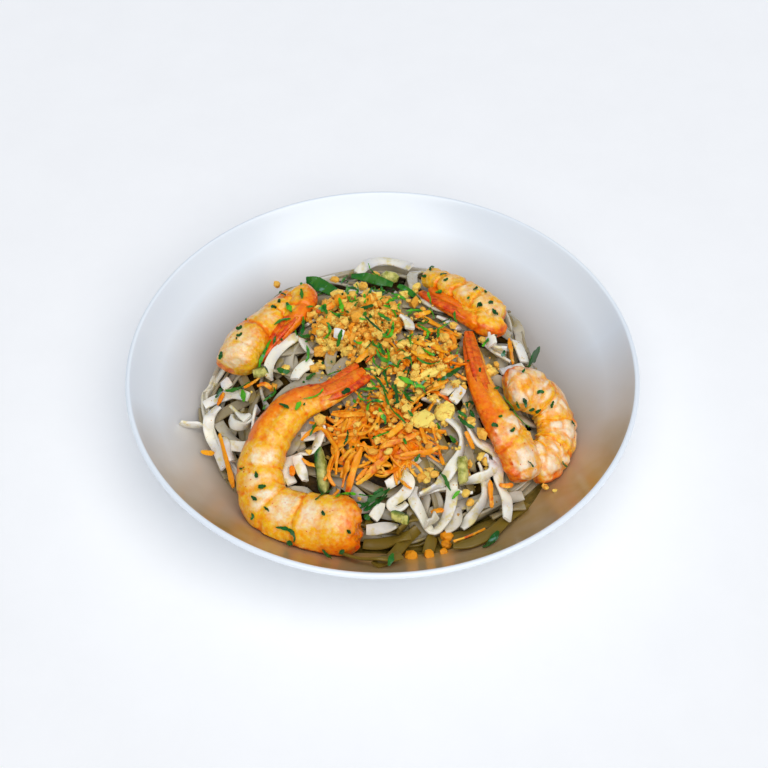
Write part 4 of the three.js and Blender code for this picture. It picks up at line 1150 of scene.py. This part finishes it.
# peanut: places are spread as (middle, width) in x and in y; sauceFrom is how far down the sauce starts
peanut = {"pile": 1450, "scatter": 600, "smallest": 0.45, "largest": 2.7, "fineness": 3.4, "strayChips": 150,
          "reach": 74, "above": 3.5, "scatterOver": ((8, 24), (-8, 24)), "strayOver": ((12, 15), (-18, 20)),
          "straySizes": (0.5, 1.8), "largeChip": 7, "sauceFrom": 530}
chips = [  # across and down as seen, and length, width and height in mm
    (423, 420, 7.8, 7.2, 3.2), (445, 413, 8.4, 7.0, 3.6), (430, 374, 9.0, 3.2, 2.4),
    (414, 375, 3.2, 3.0, 2.4), (419, 392, 3.0, 2.4, 2.0), (399, 382, 5.0, 2.0, 1.6),
    (407, 404, 5.0, 2.0, 1.8), (392, 403, 2.6, 2.4, 2.0), (385, 345, 3.2, 2.6, 2.0),
    (384, 365, 3.0, 2.2, 2.0), (416, 367, 3.0, 2.2, 1.8), (441, 367, 3.0, 2.6, 2.0),
    (444, 340, 6.0, 4.6, 3.4), (409, 429, 3.4, 2.8, 2.2), (401, 389, 2.6, 2.0, 1.6),
    (456, 384, 3.4, 2.6, 2.0), (471, 421, 3.2, 2.8, 2.2), (426, 478, 4.6, 3.8, 3.0),
    (434, 475, 3.4, 2.6, 2.2), (373, 452, 3.6, 2.8, 2.0), (388, 452, 3.2, 2.4, 2.0),
    (411, 557, 5.0, 4.0, 3.0), (429, 556, 4.4, 3.4, 2.6), (447, 537, 4.6, 4.0, 3.2),
    (446, 545, 4.2, 3.4, 3.0), (444, 553, 3.0, 2.6, 2.0), (397, 370, 2.8, 2.2, 1.8),
    (446, 337, 3.4, 2.6, 2.2), (545, 487, 2.6, 2.0, 1.4), (555, 491, 2.0, 1.6, 1.2),
    (277, 285, 3.0, 2.6, 2.4), (320, 352, 5.4, 4.4, 3.4), (333, 345, 4.4, 3.6, 3.0),
    (321, 367, 4.0, 3.0, 2.6), (335, 281, 3.6, 3.0, 2.6), (350, 309, 4.2, 3.4, 2.8),
    (363, 287, 3.4, 3.0, 2.6), (356, 302, 3.6, 3.0, 2.4), (366, 345, 3.4, 3.0, 2.4),
    (376, 275, 3.0, 2.6, 2.4), (416, 288, 3.8, 2.8, 2.6), (481, 457, 4.0, 3.0, 2.4),
    (486, 462, 3.6, 2.6, 2.2), (466, 494, 3.4, 2.8, 2.2), (470, 503, 3.0, 2.6, 2.0),
    (285, 370, 4.2, 3.2, 2.4),
]
crumbTemplate = ballTemplate(bmesh.ops.create_icosphere, subdivisions=1)
chipTemplate = ballTemplate(bmesh.ops.create_icosphere, subdivisions=2)


def turnedAbout(points, turn):
    c, s = math.cos(turn), math.sin(turn)
    return points @ np.array([[c, s, 0], [-s, c, 0], [0, 0, 1]])


def crumbAt(layer, x, y, size):
    corners, faces = crumbTemplate
    rough = corners * rng.uniform(0.6, 1.25, (len(corners), 1)) * rng.uniform(0.7, 1.2, 3) * size
    z = min(heightAt(layer, x, y) + 0.45 * size, ceilingAt(x, y) + peanut["above"])
    reach = np.linspace(-0.6, 0.6, 4) * size
    gx, gy = np.meshgrid(x + reach, y + reach)
    raiseTo(layer, gx, gy, np.full(gx.size, z + 0.4 * size))
    return turnedAbout(rough, anyPhase()) + (x, y, z), faces


def chipAt(layer, across, down, size):  # a broken piece with a few flat faces
    corners, faces = chipTemplate
    flat = np.clip(corners * 1.15, (-1.1, -0.95, -0.9), (0.95, 1.1, 0.9))
    flat = flat * rng.uniform(0.84, 1.12, (len(corners), 1))
    x, y, z = metBy(viewRays([(across, down)]), layer)[0]
    points = turnedAbout(flat * np.array(size) / 1.8, anyPhase())
    lean = rng.uniform(-0.25, 0.25, 2)
    points[:, 2] += points[:, 0] * lean[0] + points[:, 1] * lean[1]
    return points + (x, y, z + size[2] * 0.2), faces


def crumbPiece(name, copies, tints, replaces):
    finishPiece(name, copies, peanutCrumb, replaces, {"tint": perCopy(copies, tints)},
                smooth=False)


def crumbSize():
    return peanut["smallest"] + (peanut["largest"] - peanut["smallest"]) * rng.random() ** peanut["fineness"]


pileCrumbs = []
for i in range(peanut["pile"]):
    x, y = moundPlace("peanut", 1.1 * rng.random() ** 0.6)
    pileCrumbs.append(crumbAt(toppings, x, y, crumbSize()))
crumbPiece("crumbs_peanut_heap", pileCrumbs, rng.uniform(-0.1, 1.0, len(pileCrumbs)), ["peanut_heap"])
toppings = np.maximum(toppings, prawnTops)
prawnRise = prawnTops - ground
looseCrumbs = []


def onPrawn(x, y):
    return heightAt(prawnRise, x, y) > 1


def scatterCrumb(x, y, size):
    if math.hypot(x, y) < peanut["reach"] and not onPrawn(x, y):
        looseCrumbs.append(crumbAt(toppings, x, y, size))


for i in range(peanut["scatter"]):
    scatterCrumb(*somewhere(peanut["scatterOver"]), crumbSize())
for node, strips in carrotHeaps.items():
    tints = list(rng.uniform(0, 0.85, len(strips)))
    seen, seenTints = seenCarrots(node)
    carrotPiece("shreds_" + node, strips + seen, tints + seenTints, [node])
looseStrips, looseTints = seenCarrots("loose")
while len(looseStrips) < carrot["loose"]:
    place = around(rng.uniform(carrot["looseFrom"], carrot["looseTo"]), anyTurn())
    looseStrips.append(carrotStrip(*place, 10, 22))
    looseTints.append(rng.uniform(0.1, 0.6))
carrotPiece("carrotLoose", looseStrips, looseTints, [])
for i in range(peanut["strayChips"]):
    scatterCrumb(*somewhere(peanut["strayOver"]), rng.uniform(*peanut["straySizes"]))
chipTints = []  # the large chips are pale, and the ones that lie in the sauce are dark
for across, down, *size in chips:
    looseCrumbs.append(chipAt(toppings, across, down, size))
    if size[0] > peanut["largeChip"]:
        chipTints.append(1.0)
    else:
        chipTints.append(0.0 if down > peanut["sauceFrom"] else rng.uniform(0.3, 0.9))
tints = np.append(rng.uniform(0.2, 1.0, len(looseCrumbs) - len(chips)), chipTints)
crumbPiece("crumbsLoose", looseCrumbs, tints, [])
lateNoodles = {  # white ends that stick out of the toppings
    "whiteChunk": ([(333, 332), (339, 333), (345, 335)], 0),
    "ring": ([(399, 316), (405, 318), (409, 323), (410, 330)], 50),
}
lateStrips = [seenNoodle(toppings, route, roll) for route, roll in lateNoodles.values()]
noodlePiece("noodleEnds", lateStrips, [0.0] * len(lateStrips))
print("peanut made")

# courgette sticks, leaves and herbs
courgette = {"width": 5.0, "thickness": 3.6, "rounding": 1.1, "steps": 16, "scrapThickness": 3.0,
             "ends": (0.85, 0.05, 2.3, 0.12, 5.0)}
sticks = {  # the route as seen, the side that has the skin, and from where
    "courgette_1": ([(318, 455), (321, 468), (323, 482), (324, 496)], 1, 0.4),
    "courgette_2": ([(390, 513), (399, 516), (409, 521)], -1, -0.3),
    "courgette_3": ([(462, 455), (463, 469), (463, 484)], -1, 0.9),
    "courgette_4": ([(252, 374), (260, 372), (268, 371)], -1, 0.2),
}
courgetteTemplate = stripTemplate(courgette["width"], courgette["thickness"], courgette["rounding"],
                                  courgette["steps"])
courgetteSides = courgetteTemplate[0][:, 0] / (courgette["width"] / 2)


def courgettePiece(name, strip, replaces, skin):
    copies = [bentCopy(courgetteTemplate, strip, *courgette["ends"])]
    finishPiece(name, copies, courgetteFlesh, replaces, {"skin": skin})


for node, (route, side, start) in sticks.items():
    strip = laidInView(ground, route, courgette["width"], courgette["thickness"], 0.2, press=0.6, lift=-1.8)
    courgettePiece("cut_" + node, strip, [node], smoothStep(start, start + 0.3, side * courgetteSides))
scrap = laidInView(ground, [(381, 276), (390, 277), (400, 279)], courgette["width"],
                   courgette["scrapThickness"], -0.5)
courgettePiece("courgetteLoose", scrap, [], 0 * courgetteSides)

leafForm = {"thickness": 0.5, "rounding": 0.12, "steps": 24}
leafEnds = (0.05, 1.5, 0.05, 2.0)  # after the taper, which each leaf has of its own
leaves = {  # route as seen, width, dark to bright, how much the ends narrow, roll towards the eye
    "scallion_1": ([(305, 281), (318, 284), (336, 292)], 7.0, 0.25, 0.25, -0.7),
    "scallion_2": ([(350, 276), (364, 277), (380, 281), (394, 285)], 4.2, 0.25, 0.3, -0.5),
    "scallion_3": ([(397, 285), (407, 290), (416, 297)], 3.0, 0.35, 0.4, -0.5),
    "leaf_right": ([(528, 366), (534, 357), (538, 351), (540, 345)], 5.0, 0.1, 0.95, -0.5),
    "leaf_front": ([(482, 548), (491, 542), (499, 530)], 3.2, 0.1, 0.7, 0.0),
}
for node, (route, width, tint, taper, roll) in leaves.items():
    strip = laidInView(ground, route, width, leafForm["thickness"], roll, bridge=5.0, press=0.3, lift=0.6)
    copies = [bentCopy(stripTemplate(width, *leafForm.values()), strip, taper, *leafEnds)]
    finishPiece("green_" + node, copies, herbLeaf, [node], {"tint": perCopy(copies, [tint])})

herb = {"thickness": 0.28, "steps": 12, "seenWidth": 0.85, "ends": (0.7, 0.2, 0.6, 0.12, 3.0), "dense": 50,
        "denseOver": (((-6, 15), (22, 12)), ((2, 9), (-14, 13))), "loose": 40, "flecks": 60}
herbRoutes = [  # width, dark to bright, and the route as seen
    (1.2, 0.2, [(373, 374), (379, 381), (384, 388), (389, 395)]),
    (1.1, 0.3, [(384, 370), (386, 381), (389, 388)]),
    (1.6, 0.4, [(383, 388), (386, 397), (389, 406), (395, 413), (403, 420), (406, 424)]),
    (2.2, 0.9, [(397, 376), (406, 380), (415, 384), (426, 388)]),
    (1.6, 0.1, [(394, 380), (396, 388), (397, 399), (399, 409)]),
    (1.6, 0.6, [(358, 389), (368, 389), (379, 388)]),
    (1.9, 0.9, [(367, 412), (368, 404), (370, 400), (379, 401), (385, 402)]),
    (1.8, 1.0, [(379, 406), (381, 413), (386, 420), (385, 425)]),
    (0.9, 0.6, [(370, 434), (380, 432), (391, 431)]), (1.4, 0.5, [(403, 436), (407, 443)]),
    (1.2, 0.4, [(407, 412), (414, 419)]), (1.2, 0.3, [(404, 389), (411, 382)]),
    (2.2, 0.1, [(405, 396), (411, 392), (418, 391)]), (1.2, 0.5, [(352, 398), (357, 404)]),
    (2.2, 0.95, [(335, 498), (343, 489), (350, 485), (357, 484)]),
    (1.6, 0.15, [(314, 502), (326, 497), (333, 490)]), (1.2, 0.4, [(357, 483), (366, 481), (377, 477)]),
    (1.6, 0.2, [(414, 456), (421, 449)]), (2.4, 0.15, [(440, 381), (449, 375), (461, 367)]),
    (1.8, 0.1, [(423, 390), (429, 386), (435, 382)]), (1.4, 0.5, [(437, 327), (439, 333), (437, 339)]),
    (1.4, 0.9, [(380, 337), (390, 337), (393, 329), (393, 320)]),
    (0.9, 0.5, [(396, 351), (400, 348), (405, 351), (410, 356), (412, 366)]),
    (1.6, 0.5, [(376, 348), (380, 357), (389, 361), (400, 364)]),
    (1.1, 0.7, [(383, 376), (384, 369), (393, 368)]), (1.5, 0.2, [(449, 362), (456, 362)]),
    (1.5, 0.4, [(457, 410), (462, 414), (468, 418)]), (2.0, 0.15, [(458, 414), (465, 424), (476, 428)]),
    (1.8, 0.1, [(470, 402), (473, 406), (475, 411)]), (2.6, 0.05, [(341, 394), (346, 391), (351, 388)]),
    (0.8, 0.95, [(302, 399), (317, 396), (324, 388)]), (1.7, 0.1, [(278, 403), (284, 405), (290, 409)]),
    (1.9, 0.95, [(295, 411), (298, 406), (301, 400)]), (1.8, 0.2, [(433, 468), (443, 474), (452, 484)]),
    (1.6, 0.8, [(452, 483), (457, 480), (462, 478)]), (1.6, 0.4, [(449, 436), (453, 440), (456, 445)]),
    (2.0, 0.5, [(436, 422), (438, 426), (440, 430)]), (2.4, 0.2, [(388, 567), (391, 560), (393, 552)]),
    (2.6, 0.6, [(242, 388), (243, 394), (244, 401)]), (2.6, 0.1, [(221, 381), (219, 388), (215, 397)]),
    (2.2, 0.3, [(224, 390), (235, 390), (242, 387), (251, 384)]),
    (1.1, 0.3, [(273, 384), (276, 391), (271, 396), (262, 402)]),
    (1.5, 0.3, [(301, 288), (302, 294), (302, 300)]), (2.2, 0.95, [(286, 301), (289, 307), (292, 313)]),
    (1.2, 0.4, [(273, 325), (282, 319), (292, 319)]), (2.0, 0.85, [(303, 313), (303, 322), (301, 331)]),
    (1.6, 0.6, [(295, 327), (297, 335)]), (1.8, 0.5, [(299, 335), (305, 336), (311, 334)]),
    (1.2, 0.5, [(305, 307), (315, 306)]), (1.6, 0.5, [(320, 314), (323, 312), (327, 310)]),
    (1.7, 0.7, [(271, 333), (264, 343), (259, 349), (258, 357), (255, 366)]),
    (1.0, 0.2, [(276, 335), (273, 345)]), (2.0, 0.95, [(339, 297), (341, 305), (343, 313)]),
    (1.8, 0.6, [(347, 285), (348, 296), (353, 306)]), (1.6, 0.2, [(336, 315), (344, 317), (352, 321)]),
    (1.7, 0.1, [(358, 310), (366, 307), (375, 304)]), (1.8, 0.3, [(362, 319), (365, 317), (368, 315)]),
    (1.5, 0.3, [(381, 284), (382, 292), (383, 301)]), (1.8, 0.7, [(385, 304), (391, 301), (398, 296)]),
    (2.4, 0.3, [(398, 285), (407, 291), (416, 297)]), (1.8, 0.2, [(388, 304), (393, 309), (399, 313)]),
    (1.8, 0.5, [(377, 312), (384, 317), (392, 321)]), (2.6, 0.85, [(434, 291), (439, 290), (443, 287)]),
    (1.8, 0.6, [(427, 307), (433, 312), (434, 320)]), (1.1, 0.4, [(455, 310), (454, 319), (458, 323)]),
    (2.2, 0.7, [(502, 394), (512, 396), (524, 398), (533, 401)]), (2.0, 0.3, [(466, 361), (470, 360)]),
    (2.4, 0.2, [(276, 368), (285, 372), (291, 371)]), (2.2, 0.5, [(326, 376), (334, 372), (343, 370)]),
    (2.4, 0.2, [(305, 380), (311, 376), (316, 372)]), (2.0, 0.3, [(337, 360), (340, 354), (343, 348)]),
    (1.5, 0.1, [(274, 522), (283, 523), (290, 526), (295, 530), (293, 536)]),
    (1.9, 0.1, [(285, 533), (289, 535), (293, 537)]), (1.5, 0.1, [(321, 534), (326, 541), (332, 547)]),
    (2.8, 0.1, [(340, 544), (342, 547), (344, 550)]), (1.1, 0.2, [(323, 512), (324, 516)]),
    (2.2, 0.2, [(363, 514), (367, 517), (371, 520)]),
]
toothedLeaf = [  # one leaf's narrow lobes
    (1.8, 0.15, [(357, 510), (366, 504), (375, 497), (383, 490), (390, 487)]),
    (2.0, 0.1, [(356, 508), (363, 508), (371, 504)]), (2.0, 0.1, [(362, 511), (369, 508), (376, 502)]),
    (2.0, 0.12, [(366, 500), (372, 499), (378, 492)]), (2.0, 0.1, [(370, 507), (377, 503), (383, 496)]),
    (2.0, 0.15, [(372, 494), (378, 494), (384, 488)]), (1.8, 0.1, [(377, 502), (384, 498), (390, 491)]),
    (1.6, 0.2, [(380, 496), (385, 492), (388, 486)]),
]
fleckSpots = [  # dark flecks, most of them on the prawns
    (256, 477), (262, 488), (254, 500), (267, 511), (253, 519), (242, 471), (323, 515), (349, 534),
    (524, 372), (540, 393), (552, 407), (573, 425), (564, 468), (531, 466), (513, 431), (495, 426),
    (497, 390), (480, 372), (471, 406), (511, 411), (517, 414), (524, 418), (531, 417), (538, 415),
    (480, 306), (491, 304), (496, 315), (443, 275), (446, 281), (424, 280), (430, 270), (240, 336),
    (240, 329), (221, 357), (274, 308), (279, 302), (284, 296), (476, 290), (478, 307), (494, 314),
    (467, 408), (528, 368), (503, 360),
]
herbTemplate = stripTemplate(1.0, herb["thickness"], 0, herb["steps"])


def herbStrip(x, y, length, width):
    plan = shortRoute(x, y, anyTurn(), length, rng.normal(0, 0.7))
    roll = rng.uniform(-0.8, 0.8) + rng.uniform(-1, 1) * np.linspace(0, 1, len(plan))
    strip = laid(toppings, plan, width, herb["thickness"], roll, 2.5, 0.5)
    strip["path"][:, 2] += rng.uniform(0.0, 0.4)
    return strip


herbStrips, herbTints = [], []


def addHerb(strip, tint):
    herbStrips.append(strip)
    herbTints.append(tint)


for width, tint, route in herbRoutes + toothedLeaf:
    addHerb(laidInView(toppings, route, herb["seenWidth"] * width, herb["thickness"], 0.25,
                       bridge=3.0, press=0.5, lift=0.35), tint)
for i in range(herb["dense"]):
    x, y = somewhere(herb["denseOver"][i % 2])
    if not onPrawn(x, y):
        addHerb(herbStrip(x, y, rng.uniform(4, 11), rng.uniform(0.6, 1.2)), rng.random())
for i in range(herb["loose"]):
    turn = anyTurn()
    x, y = around(rng.uniform(20, coreReach(turn) - 6), turn)
    if not onPrawn(x, y):
        addHerb(herbStrip(x, y, rng.uniform(3, 8), rng.uniform(0.7, 1.4)), rng.random())
for across, down in fleckSpots:
    x, y, _ = metBy(viewRays([(across, down)]), toppings)[0]
    addHerb(herbStrip(x, y, rng.uniform(1.8, 3.6), rng.uniform(0.9, 1.7)), rng.uniform(0, 0.15))
for i in range(herb["flecks"]):
    turn = anyTurn()
    x, y = around(rng.uniform(10, coreReach(turn) - 9), turn)
    addHerb(herbStrip(x, y, rng.uniform(0.9, 1.8), 0.8), rng.uniform(0, 0.4))
copies = [bentCopy(herbTemplate, strip, *herb["ends"], widen=strip["width"]) for strip in herbStrips]
finishPiece("herbThreads", copies, herbLeaf, [], {"tint": perCopy(copies, herbTints)})
print("greens made")

# sauce: a film that has run out from under the heap in front and to the right
sauce = {"from": -122, "to": -12, "inner": 66.0, "outer": 86.0, "depth": 0.5, "around": 110, "outward": 14}


def makeSauce():
    bm = bmesh.new()
    bmesh.ops.create_grid(bm, x_segments=sauce["around"], y_segments=sauce["outward"], size=1)
    corners, faces = arraysOf(bm)
    turn = np.radians(sauce["from"] + (sauce["to"] - sauce["from"]) * (corners[:, 0] + 1) / 2)
    share = (corners[:, 1] + 1) / 2
    reach = sauce["outer"] + 1.8 * np.sin(turn * 5 + 1) + 1.1 * np.sin(turn * 13)
    radius = sauce["inner"] + (reach - sauce["inner"]) * share
    ends = np.clip(3 * (1 - np.abs(corners[:, 0])), 0, 1)
    points = np.column_stack([radius * np.cos(turn), radius * np.sin(turn),
                              wallHeight(radius) + 0.06 + sauce["depth"] * np.sqrt(1 - share ** 2) * ends])
    finishPiece("sauceFilm", [(points, faces)], sauceFilm)


makeSauce()
print("sauce made")

# floor, light and camera
stage = {"floor": 4.0, "floorColour": "FFFFFF", "floorGrain": "FDFDFD", "worldColour": "D4E6FF",
         "worldStrength": 0.3}
lamps = {  # elevation, turn from the front towards the right, distance and size in m, power in W, colour
    "keyWindow": (59, 14, 8.0, 10.0, 675, "FFFCF8"), "backFill": (60, 176, 3.0, 1.8, 5, "F2F6FF"),
}


def makeFloor():
    bm = bmesh.new()
    bmesh.ops.create_grid(bm, x_segments=1, y_segments=1, size=stage["floor"])
    mesh = bpy.data.meshes.new("floor")
    bm.to_mesh(mesh)
    bm.free()
    floor = bpy.data.objects.new("floor", mesh)
    bpy.context.scene.collection.objects.link(floor)
    material, tree, shader, place = startMaterial("paleMattBoard", Roughness=0.9)
    shade = layered(tree, stage["floorColour"], (spots(tree, place, 30, 0.3, 0.7), stage["floorGrain"]))
    tree.links.new(shade, shader.inputs["Base Color"])
    floor.data.materials.append(material)


def addLamp(name, elevation, turn, distance, size, power, colour):
    lamp = bpy.data.lights.new(name, "AREA")
    lamp.shape, lamp.size, lamp.energy = "DISK", size, power
    lamp.color = toLinear(colour)[:3]
    light = bpy.data.objects.new(name, lamp)
    rise, turn = math.radians(elevation), math.radians(turn)
    place = Vector((math.sin(turn) * math.cos(rise), -math.cos(turn) * math.cos(rise), math.sin(rise)))
    light.location = place * distance
    light.rotation_euler = place.to_track_quat("Z", "Y").to_euler()
    bpy.context.scene.collection.objects.link(light)


def makeCamera():
    lens = bpy.data.cameras.new("camera")
    lens.lens, lens.sensor_width, lens.sensor_fit = view["lens"], view["sensor"], "HORIZONTAL"
    lens.clip_start, lens.clip_end = 0.01, 50
    camera = bpy.data.objects.new("camera", lens)
    camera.location = Vector(view["place"]) * mm
    camera.rotation_euler = (math.radians(90 - view["elevation"]), 0, 0)
    bpy.context.scene.collection.objects.link(camera)
    bpy.context.scene.camera = camera


makeFloor()
world = bpy.data.worlds.new("softBox")
world.use_nodes = True
sky = world.node_tree.nodes["Background"].inputs
sky["Color"].default_value = toLinear(stage["worldColour"])
sky["Strength"].default_value = stage["worldStrength"]
bpy.context.scene.world = world
bpy.context.scene.view_settings.view_transform = "Standard"
for name, settings in lamps.items():
    addLamp(name, *settings)
makeCamera()
print("stage made")
